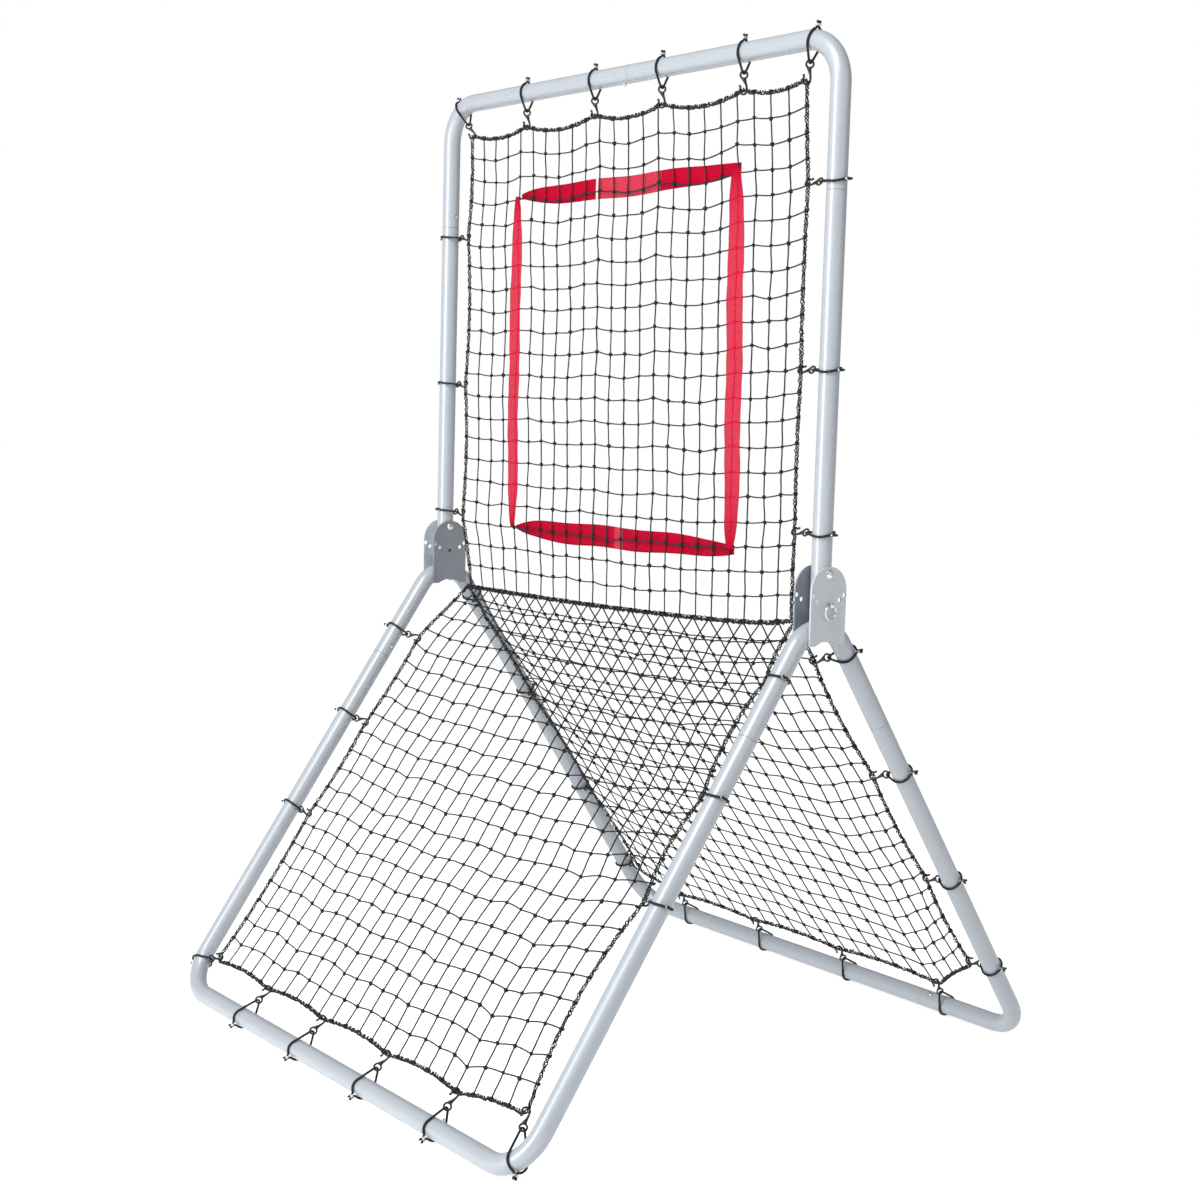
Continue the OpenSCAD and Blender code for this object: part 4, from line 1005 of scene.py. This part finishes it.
def ribbon(name, start, end, wide, tips, tapers, lift, folds, bow, node, seed, slit=None):
    """A ribbon between two places of the upper net. Each end keeps a share of the width, tips,
    and widens over a length, tapers. folds says how far its ends turn back, and bow how far its
    middle lies off the straight line, to its left."""
    stray = random.Random(seed)
    wave = [stray.uniform(0, math.tau) for _ in range(4)]
    span = (end - start).length
    along, over = (end - start) / span, Vector((-(end - start).y, (end - start).x)) / span
    cuts = [i / RIBBON_CUTS - 0.5 for i in range(RIBBON_CUTS + 1)]
    points, charts, shades, faces = [], [], [], []
    for head, tail, layer in ribbon_runs(span, folds, slit):
        first, count = len(points), max(2, round((tail - head) / RIBBON_STEP))
        for i in range(count + 1):
            s = head + (tail - head) * i / count
            width = wide * gathered(s, tips[0], tapers[0])
            width *= gathered(span - s, tips[1], tapers[1])
            gather = math.exp(-s / tapers[0]) + math.exp(-(span - s) / tapers[1])
            double = s < folds[0] or s > span - folds[1]
            middle = bow * math.sin(math.pi * s / span) + SWAY * math.sin(s * 31 + wave[0])
            for c in cuts:
                pleat = PLEAT * gather * math.sin(c * 26 + wave[1])
                wrinkle = WRINKLE * math.sin(s * 95 + c * 3 + wave[2]) * math.sin(s * 23 + wave[3])
                crease = CREASE * math.sin(s * 420 + c * 5) * math.sin(s * 61 + c * 9) * double
                aside = middle + c * width * (1 - FOLD_NARROWER * layer)
                place = start + along * s + over * aside
                out = lift + math.copysign(RIBBON_LAYER, lift) * layer
                points.append(upper_mesh.point(place, out + pleat + wrinkle + crease))
                charts.append((s, c * wide))
                # Painted shade: the gathered ends are made deeper red, as if shaded in their
                # bunched folds.
                shades.append(max(float(double), min(GATHER_SHADE_MOST, GATHER_SHADE * gather)))
        for i in range(count):
            for j in range(len(cuts) - 1):
                a = first + i * len(cuts) + j
                faces.append((a, a + 1, a + 1 + len(cuts), a + len(cuts)))
    mesh = bpy.data.meshes.new(name)
    mesh.from_pydata([tuple(p) for p in points], [], faces)
    shade = mesh.attributes.new("doubled", "FLOAT", "POINT")
    shade.data.foreach_set("value", shades)
    layer = mesh.uv_layers.new(name="UVMap")
    for loop in mesh.loops:
        layer.data[loop.index].uv = charts[loop.vertex_index]
    mesh.shade_smooth()
    mesh.materials.append(red_ribbon)
    made = new_object(name, mesh)
    thick = made.modifiers.new("cloth", "SOLIDIFY")
    thick.thickness = RIBBON_T
    thick.offset = 0
    evaluated = made.evaluated_get(bpy.context.evaluated_depsgraph_get())
    solid = bpy.data.meshes.new_from_object(evaluated)
    made.modifiers.clear()
    made.data = solid
    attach(made, "upper_frame")
    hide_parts(node)


def zone_corner(i, j):
    """Where two ribbons are tied together, near a knot of the net."""
    u, w = i / COLUMNS, upper_mesh.rows[j]
    return upper_edge.patch(u, w) + upper_settled(u, w) + Vector(ZONE_NUDGES[i, j])


foot_left, foot_right = zone_corner(ZONE_LEFT, ZONE_FOOT), zone_corner(ZONE_RIGHT, ZONE_FOOT)
top_left, top_right = zone_corner(ZONE_LEFT, ZONE_TOP), zone_corner(ZONE_RIGHT, ZONE_TOP)
ribbon("ribbon_top", top_left, top_right, RIBBON_W, (0.2, 0.45), (0.055, 0.085), RIBBON_BEHIND,
       (0.223, 0.200), -0.005, "strike_ribbon_top", 1, slit=(0.226, 0.232))
ribbon("ribbon_bottom", foot_left, foot_right, RIBBON_W, (0.12, 0.4), (0.050, 0.080),
       RIBBON_BEHIND, (0.300, 0.290), 0, "strike_ribbon_bottom", 2)
ribbon("ribbon_left", foot_left, top_left, RIBBON_LEFT_W, (0.2, 0.3), (0.030, 0.035),
       RIBBON_BEFORE, (0, 0), 0.002, "strike_ribbon_left", 3)
ribbon("ribbon_right", foot_right, top_right, RIBBON_RIGHT_W, (0.45, 0.5), (0.050, 0.045),
       RIBBON_BEFORE, (0, 0), -0.002, "strike_ribbon_right", 4)


# Net hooks: black nylon, moulded flat in one piece, with an eye for the elastic loop, a web that
# narrows to a neck, and an open hook turned in under the border rope. Each has swung round on its
# own, most with the flat side to the front and right.
EYE_REACH = 0.0304
EYE_R = 0.0057
HOOK_WIRE = 0.0034
HOOK_THICK = 0.0031
GRIP_R = 0.0060
HOOK_NECK = (
    (-0.0202, 0.0000, 0.0090), (-0.0172, 0.0008, 0.0072), (-0.0134, 0.0024, 0.0050),
    (-0.0092, 0.0041, 0.0039), (-0.0046, 0.0053, 0.0035),
)
HOOK_TIP = ((-0.0057, -0.0052, 0.0036), (-0.0074, -0.0060, 0.0043), (-0.0086, -0.0066, 0.0026))
EYE_STEPS, EYE_SIDES, HOOK_SIDES = 24, 8, 10
HOOK_SQUARE = 0.8
GRIP_FROM, GRIP_STEP, GRIP_STEPS = 95, 25, 10
HOOK_BLACK = (0.012, 0.012, 0.013, 1)
HOOK_FACE = Vector((0.78, -0.62, 0.1))
TIP_WAY = Vector((-0.62, -0.78, 0.3))
LEAST_TWIST = 26
SWUNG = 7
CORNER_R = 0.072
FLOOR_TURN = 155
AWAY_TURN = 180

hook_plastic, tree, shader = new_material("hook_plastic", roughness=0.36)
shader.inputs["Base Color"].default_value = HOOK_BLACK
bump(tree, shader, speckle(tree, 900.0, 2.0), 0.00003, 0.5)

copies_tree, given, result = new_group(
    "GeometryNodeTree", "copies of a piece",
    [("Geometry", "Geometry", None), ("Piece", "Object", None), ("Material", "Material", None)],
    [("Geometry", "Geometry")])
piece = put(copies_tree, "GeometryNodeObjectInfo", {"Object": given["Piece"]})
copies = put(copies_tree, "GeometryNodeInstanceOnPoints", {
    "Points": given["Geometry"], "Instance": piece.outputs["Geometry"],
    "Rotation": marked(copies_tree, "turned", "FLOAT_VECTOR")})
smooth = put(copies_tree, "GeometryNodeSetShadeSmooth", {"Geometry": copies.outputs[0]})
finish_tree(copies_tree, smooth.outputs[0], given["Material"], result)


def tube_faces(rings, around, closed):
    """Quads between rings of points, and an end face on the first and last if it is not closed."""
    faces = []
    for i in range(rings if closed else rings - 1):
        a, b = i * around, (i + 1) % rings * around
        faces += [(a + j, a + (j + 1) % around, b + (j + 1) % around, b + j) for j in range(around)]
    if not closed:
        faces += [tuple(range(around))[::-1], tuple(range((rings - 1) * around, rings * around))]
    return faces


def piece_object(name, shells):
    """An object of one or more (points, faces) shells, to be copied."""
    points, faces = [], []
    for places, quads in shells:
        faces += [tuple(k + len(points) for k in quad) for quad in quads]
        points += places
    mesh = bpy.data.meshes.new(name)
    mesh.from_pydata(points, [], faces)
    return new_object(name, mesh)


def moulded_hook():
    """One hook in its own plane: X from the tube to the rope, the rope at the origin."""
    eye = []
    for i in range(EYE_STEPS):
        a = math.tau * i / EYE_STEPS
        for j in range(EYE_SIDES):
            b = math.tau * j / EYE_SIDES
            r = EYE_R + HOOK_WIRE / 2 * math.cos(b)
            eye.append((EYE_R - EYE_REACH + r * math.cos(a), r * math.sin(a),
                        HOOK_THICK / 2 * math.sin(b)))
    turn = [math.radians(GRIP_FROM - GRIP_STEP * k) for k in range(GRIP_STEPS)]
    grip = [(GRIP_R * math.cos(a), GRIP_R * math.sin(a), HOOK_WIRE) for a in turn]
    path = [*HOOK_NECK, *grip, *HOOK_TIP]
    body = []
    for k, (x, y, wide) in enumerate(path):
        before, after = path[max(k - 1, 0)], path[min(k + 1, len(path) - 1)]
        way = Vector((after[0] - before[0], after[1] - before[1])).normalized()
        for j in range(HOOK_SIDES):
            b = math.tau * j / HOOK_SIDES
            side = math.copysign(abs(math.cos(b)) ** HOOK_SQUARE, math.cos(b)) * wide / 2
            body.append((x - way.y * side, y + way.x * side, HOOK_THICK / 2 * math.sin(b)))
    return piece_object("hook", [(eye, tube_faces(EYE_STEPS, EYE_SIDES, True)),
                                 (body, tube_faces(len(path), HOOK_SIDES, False))])


def tie_axes(tube, tube_way, rope):
    """A tie's own axes: from the tube to the rope, across both, and along the tube."""
    x = (rope - tube).normalized()
    z = (tube_way - x * tube_way.dot(x)).normalized()
    return x, z.cross(x), z


def hook_turned(tie, stray):
    """The hook's axes on a tie: turned towards its face's way, but with the rope across it."""
    x, y, z = tie_axes(*tie[:3])
    over = HOOK_FACE.cross(x).normalized()
    if over.dot(TIP_WAY) > 0:
        over = -over
    twist = math.degrees(math.atan2(over.dot(y), over.dot(z))) + stray.uniform(-SWUNG, SWUNG)
    most = 90 - LEAST_TWIST
    if abs(90 - abs(twist)) > most:
        twist = math.copysign(90, twist) + math.copysign(most, twist * (abs(twist) - 90))
    a = math.radians(twist)
    over = z * math.cos(a) + y * math.sin(a)
    return Matrix((x, over, x.cross(over))).transposed()


def side_rope(side, hand, away):
    return hinge_middle + lower_planes[side].away * away + ACROSS * hand * lower_half


def corner_loop(bend, turn, out, level, rope_out):
    """A loop round a bent tube: round the middles of the tube's and the rope's bends, outwards."""
    return bend + out * CORNER_R, level, turn + rope_out * ROPE_CORNER, AWAY_TURN


def upper_loops():
    for x in top_spots:
        yield Vector((x, 0, top_z)), ACROSS, Vector((x, 0, top_z - TOP_MARGIN)), AWAY_TURN
    for hand in (LEFT, RIGHT):
        for away in upper_spots[hand]:
            z = hinge_z + away
            yield Vector((hand * side_x, 0, z)), UP, Vector((hand * upper_half, 0, z)), AWAY_TURN
    for hand in (LEFT, RIGHT):
        a = math.radians(UPPER_CORNERS[hand])
        out = Vector((hand * math.cos(a), 0, math.sin(a)))
        along = Vector((-hand * math.sin(a), 0, math.cos(a)))
        bend = Vector((hand * (side_x - CORNER_R), 0, top_z - CORNER_R))
        turn = Vector((hand * (upper_half - ROPE_CORNER), 0, top_z - TOP_MARGIN - ROPE_CORNER))
        yield corner_loop(bend, turn, out, along, out)


def leg_loops(side):
    for hand in (LEFT, RIGHT):
        for away in leg_spots[side, hand]:
            rope = side_rope(side, hand, away)
            s = (rope - apex).dot(down(side))
            yield apex + down(side) * s + ACROSS * hand * side_x, down(side), rope, AWAY_TURN
    for hand in (LEFT, RIGHT) if side == FRONT else ():
        a = math.radians(FRONT_CORNERS[hand])
        level, fall, run = ACROSS * hand, down(side), lower_planes[side].away
        bend = apex + fall * (leg_length - CORNER_R) + level * (side_x - CORNER_R)
        turn = foot_rope(side) + level * (lower_half - ROPE_CORNER)
        turn -= run * (ROPE_CORNER + FOOT_CORNER_RISE[hand])
        yield corner_loop(bend, turn, level * math.cos(a) + fall * math.sin(a),
                          fall * math.cos(a) - level * math.sin(a),
                          level * math.cos(a) + run * math.sin(a))


def bar_loops(side):
    for x, hook_x in zip(bar_spots[side], bar_hooks[side]):
        bar = apex + down(side) * leg_length + ACROSS * x
        yield bar, ACROSS * side, foot_rope(side) + ACROSS * hook_x, FLOOR_TURN


def set_copies(name, piece, places, turns, material, body, node):
    """Sets copies of a piece at places, each with its own axes, in place of a CAD node."""
    source = line_mesh(name, [[place] for place in places], {
        "turned": ("FLOAT_VECTOR", [turn.to_euler() for turn in turns])})
    made = grow(source, copies_tree, piece=piece, material=material)
    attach(made, body)
    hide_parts(node)


def set_hooks(name, ties, body, node, seed):
    stray = random.Random(seed)
    turns = [hook_turned(tie, stray) for tie in ties]
    set_copies(name, hook_piece, [tie[2] for tie in ties], turns, hook_plastic,
               body, node)


upper_ties = list(upper_loops())
lower_ties = {side: list(leg_loops(side)) + list(bar_loops(side)) for side in (FRONT, REAR)}
hook_piece = moulded_hook()
set_hooks("upper_moulded_hooks", upper_ties, "upper_frame", "upper_hooks", 300)
for side in (FRONT, REAR):
    set_hooks(SIDE_NAME[side] + "_moulded_hooks", lower_ties[side], "stand",
              SIDE_NAME[side] + "_hooks", 310 + side)
bpy.data.objects.remove(hook_piece)


# Elastic loops: black shock cord with a braided sheath, laid round the tube and through the
# hook's eye. Its two ends come out together on the tube's far side, through a crimped sleeve.
CORD_D = 0.0039
CORD_STEP = 0.0016
WRAP_R = tube_r + 0.0003 + 0.002
WRAP_STEPS, EYE_TURN_STEPS = 16, 4
EYE_TURN_R = 0.0039
CORD_TURN_R = 0.0035
ENDS_HALF = 0.00215
CORD_END = 0.0080
CORD_SWING = 0.0036
CORD_FLARES = (0.0004, 0.0016)
FLARE_FROM, FLARE_RATE = 0.55, 2.2
ENDS_SPREAD = math.degrees(math.asin((CORD_TURN_R + ENDS_HALF) / (WRAP_R + CORD_TURN_R)))
ENDS_FROM = (WRAP_R + CORD_TURN_R) * math.cos(math.radians(ENDS_SPREAD))

cord_tree, given, result = new_group(
    "GeometryNodeTree", "elastic cord",
    [("Geometry", "Geometry", None), ("Diameter", "Float", 0.004), ("Material", "Material", None)],
    [("Geometry", "Geometry")])
route = put(cord_tree, "GeometryNodeMeshToCurve", {"Mesh": given["Geometry"]})
even = put(cord_tree, "GeometryNodeResampleCurve",
           {"Curve": route.outputs[0], "Length": CORD_STEP}, mode="LENGTH")
cord_skin = tube_skin(cord_tree, even.outputs[0],
                      maths(cord_tree, "MULTIPLY", given["Diameter"], 0.5), 10)
finish_tree(cord_tree, cord_skin, given["Material"], result)

elastic_cord = spun("elastic_cord", NET_HIGHLIGHT_GREY, 0.0019, 3.0, 0.6, 0.00025)


def slanted(along, x, tube_way):
    """A distance along a tie, longer by what a slanted loop needs to pass round the tube."""
    level = tube_way.normalized().cross(x).length
    return along + (1 / level - 1) * min(max(along, -WRAP_R), WRAP_R)


def loop_route(tube, tube_way, rope, turn, seed):
    """Points of one loop: from one end, round the tube, through the eye and back to the other."""
    x, y, z = tie_axes(tube, tube_way, rope)
    reach = (rope - tube).length - EYE_REACH
    lift = math.degrees(math.acos((WRAP_R - EYE_TURN_R) / reach))
    bent = math.radians(turn)
    stray = random.Random(seed)
    flare = [stray.uniform(*CORD_FLARES) for _ in range(2)]

    def polar(r, degrees, centre=(0, 0)):
        a = math.radians(degrees)
        return (centre[0] + r * math.cos(a), centre[1] + r * math.sin(a))

    def swung(a, b):
        """A place given with the cord's ends along a, turned to where they leave the tube."""
        return (a * math.cos(bent) - b * math.sin(bent), a * math.sin(bent) + b * math.cos(bent))

    def half(sign):
        """One half, from the cord's end to the far side of the eye, in the loop's plane."""
        places = []
        for share in (1.0, 0.8, FLARE_FROM, 0.25, 0.0):
            apart = ENDS_HALF + flare[sign > 0] * max(0, share - FLARE_FROM) * FLARE_RATE
            places.append(swung(ENDS_FROM + CORD_END * share, sign * apart))
        centre = (ENDS_FROM, sign * (CORD_TURN_R + ENDS_HALF))
        for step in (0.33, 0.66):
            angle = -sign * (90 + (90 - ENDS_SPREAD) * step)
            places.append(swung(*polar(CORD_TURN_R, angle, centre)))
        first, last = turn + sign * ENDS_SPREAD, 360 - lift if sign > 0 else lift
        places += [polar(WRAP_R, first + (last - first) * i / WRAP_STEPS)
                   for i in range(WRAP_STEPS + 1)]
        places += [polar(EYE_TURN_R, -sign * lift * (1 - i / EYE_TURN_STEPS), (reach, 0))
                   for i in range(EYE_TURN_STEPS + 1)]
        return places

    flat = half(1) + half(-1)[::-1][1:]
    points = []
    for i, (a, b) in enumerate(flat):
        share = i / (len(flat) - 1)
        swing = CORD_SWING * math.sin(math.tau * share) * min(1.0, abs(b) / WRAP_R + 0.1)
        points.append(tube + x * slanted(a, x, tube_way) + y * b + z * swing)
    return points


def elastic_loops(name, ties, body, node, seed):
    routes = [loop_route(*tie, seed + k) for k, tie in enumerate(ties)]
    loops = grow(line_mesh(name, routes), cord_tree, diameter=CORD_D, material=elastic_cord)
    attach(loops, body)
    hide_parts(node)


elastic_loops("upper_elastic_loops", upper_ties, "upper_frame", "upper_loops", 100)
for side in (FRONT, REAR):
    name = SIDE_NAME[side]
    elastic_loops(name + "_elastic_loops", lower_ties[side], "stand", name + "_loops",
                  200 + side * 50)


# Crimped sleeves: short flattened tubes of bright metal, pinched in the middle by the pliers that
# press them round the two ends of each elastic cord, on the far side of the tube.
CRIMP_LENGTH = 0.0037
CRIMP_WALL = 0.0005
CRIMP_GAP = 0.0003
CRIMP_CLEAR = 0.0001
CRIMP_PINCH = 0.86
CRIMP_SIDES = 16
CRIMP_GREY = (0.66, 0.66, 0.66, 1)

crimp_metal = bare_metal("crimp_metal", CRIMP_GREY, 0.3, 260.0)


def crimp():
    """One sleeve: X along the cord's ends, Y from one end to the other."""

    def ring(share, r):
        places = []
        for j in range(CRIMP_SIDES):
            a = math.tau * (j + 0.5) / CRIMP_SIDES
            y = math.copysign(ENDS_HALF, math.cos(a)) + r * math.cos(a)
            pinch = 1 - (1 - CRIMP_PINCH) * math.sin(math.pi * share)
            places.append((CRIMP_GAP + CRIMP_LENGTH * share, y * (2 - pinch),
                           r * math.sin(a) * pinch))
        return places

    outer, inner = CORD_D / 2 + CRIMP_WALL, CORD_D / 2 + CRIMP_CLEAR
    rings = [ring(share, outer) for share in (0, 0.2, 0.4, 0.6, 0.8, 1)]
    rings += [ring(share, inner) for share in (1, 0.5, 0)]
    return piece_object("crimp", [(sum(rings, []), tube_faces(len(rings), CRIMP_SIDES, True))])


def set_crimps(name, ties, body, node):
    places, turns = [], []
    for tube, tube_way, rope, turn in ties:
        x, y, z = tie_axes(tube, tube_way, rope)
        a = math.radians(turn)
        out, beside = x * math.cos(a) + y * math.sin(a), y * math.cos(a) - x * math.sin(a)
        along = slanted(ENDS_FROM * math.cos(a), x, tube_way)
        places.append(tube + x * along + y * ENDS_FROM * math.sin(a))
        turns.append(Matrix((out, beside, z)).transposed())
    set_copies(name, crimp_piece, places, turns, crimp_metal, body, node)


crimp_piece = crimp()
set_crimps("upper_crimped_sleeves", upper_ties, "upper_frame", "upper_crimps")
for side in (FRONT, REAR):
    set_crimps(SIDE_NAME[side] + "_crimped_sleeves", lower_ties[side], "stand",
               SIDE_NAME[side] + "_crimps")
bpy.data.objects.remove(crimp_piece)


# The floor and the light round the net: a white floor without an end, a tall soft lamp in front,
# a square one high up on the front right, a weak one on the right, and an even pale sky that only
# the camera sees as white.
FLOOR_SIZE = 60
FLOOR_LIFT = 0.66
SKY = 0.40
SKY_MIRRORED = 0.35
CAMERA_AT = (2.587, -2.073, 1.124)
CAMERA_YAW, CAMERA_PITCH, CAMERA_ROLL = 51.55, -6.10, 1.61
CAMERA_LENS = 55.98
LAMPS_AIM = Vector((0, 0, 0.9))

floor_paint, tree, shader = new_material("floor_paint", roughness=0.9)
shader.inputs["Base Color"].default_value = (0.86, 0.86, 0.86, 1)
shader.inputs["Specular IOR Level"].default_value = 0.0
seen = put(tree, "ShaderNodeLightPath")
direct = maths(tree, "MAXIMUM", seen.outputs["Is Camera Ray"], seen.outputs["Is Glossy Ray"])
direct = maths(tree, "MAXIMUM", direct, seen.outputs["Is Transmission Ray"])
shader.inputs["Emission Color"].default_value = (1, 1, 1, 1)
tree.links.new(maths(tree, "MULTIPLY", direct, FLOOR_LIFT), shader.inputs["Emission Strength"])
floor_mesh = bpy.data.meshes.new("floor")
reach = FLOOR_SIZE / 2
floor_mesh.from_pydata([(-reach, -reach, 0), (reach, -reach, 0), (reach, reach, 0),
                        (-reach, reach, 0)], [], [(0, 1, 2, 3)])
floor_mesh.materials.append(floor_paint)
new_object("floor", floor_mesh)

world = bpy.data.worlds.new("sky")
bpy.context.scene.world = world
world.use_nodes = True
sky = world.node_tree.nodes["Background"]
sky.inputs["Color"].default_value = (1, 1, 1, 1)
seen = put(world.node_tree, "ShaderNodeLightPath")
direct = maths(world.node_tree, "MAXIMUM", seen.outputs["Is Camera Ray"],
               seen.outputs["Is Transmission Ray"])
other = ranged(world.node_tree, seen.outputs["Is Glossy Ray"], SKY, SKY_MIRRORED)
strength = maths(world.node_tree, "MAXIMUM", direct, other)
world.node_tree.links.new(strength, sky.inputs["Strength"])


def lamp(name, place, width, height, watts):
    data = bpy.data.lights.new(name, "AREA")
    data.energy = watts
    data.shape = "RECTANGLE"
    data.size, data.size_y = width, height
    made = new_object(name, data)
    made.location = place
    made.rotation_mode = "QUATERNION"
    made.rotation_quaternion = (LAMPS_AIM - Vector(place)).to_track_quat("-Z", "Y")


lamp("key", (-0.4, -4.6, 1.7), 0.9, 2.8, 115)
lamp("high", (1.0, -2.8, 3.9), 1.6, 1.6, 105)
lamp("fill", (4.4, 0.8, 2.6), 2.6, 2.6, 20)

view = bpy.data.cameras.new("view")
view.sensor_width = 36
view.lens = CAMERA_LENS
camera = new_object("view", view)
bpy.context.scene.camera = camera
yaw, pitch, roll = (math.radians(a) for a in (CAMERA_YAW, CAMERA_PITCH, CAMERA_ROLL))
ahead = Vector((-math.sin(yaw) * math.cos(pitch), math.cos(yaw) * math.cos(pitch), math.sin(pitch)))
level = Vector((math.cos(yaw), math.sin(yaw), 0))
above = level.cross(ahead)
beside = level * math.cos(roll) + above * math.sin(roll)
over = above * math.cos(roll) - level * math.sin(roll)
facing = Matrix((beside, over, -ahead)).transposed().to_4x4()
camera.matrix_world = Matrix.Translation(CAMERA_AT) @ facing
bpy.context.scene.view_settings.view_transform = "Standard"
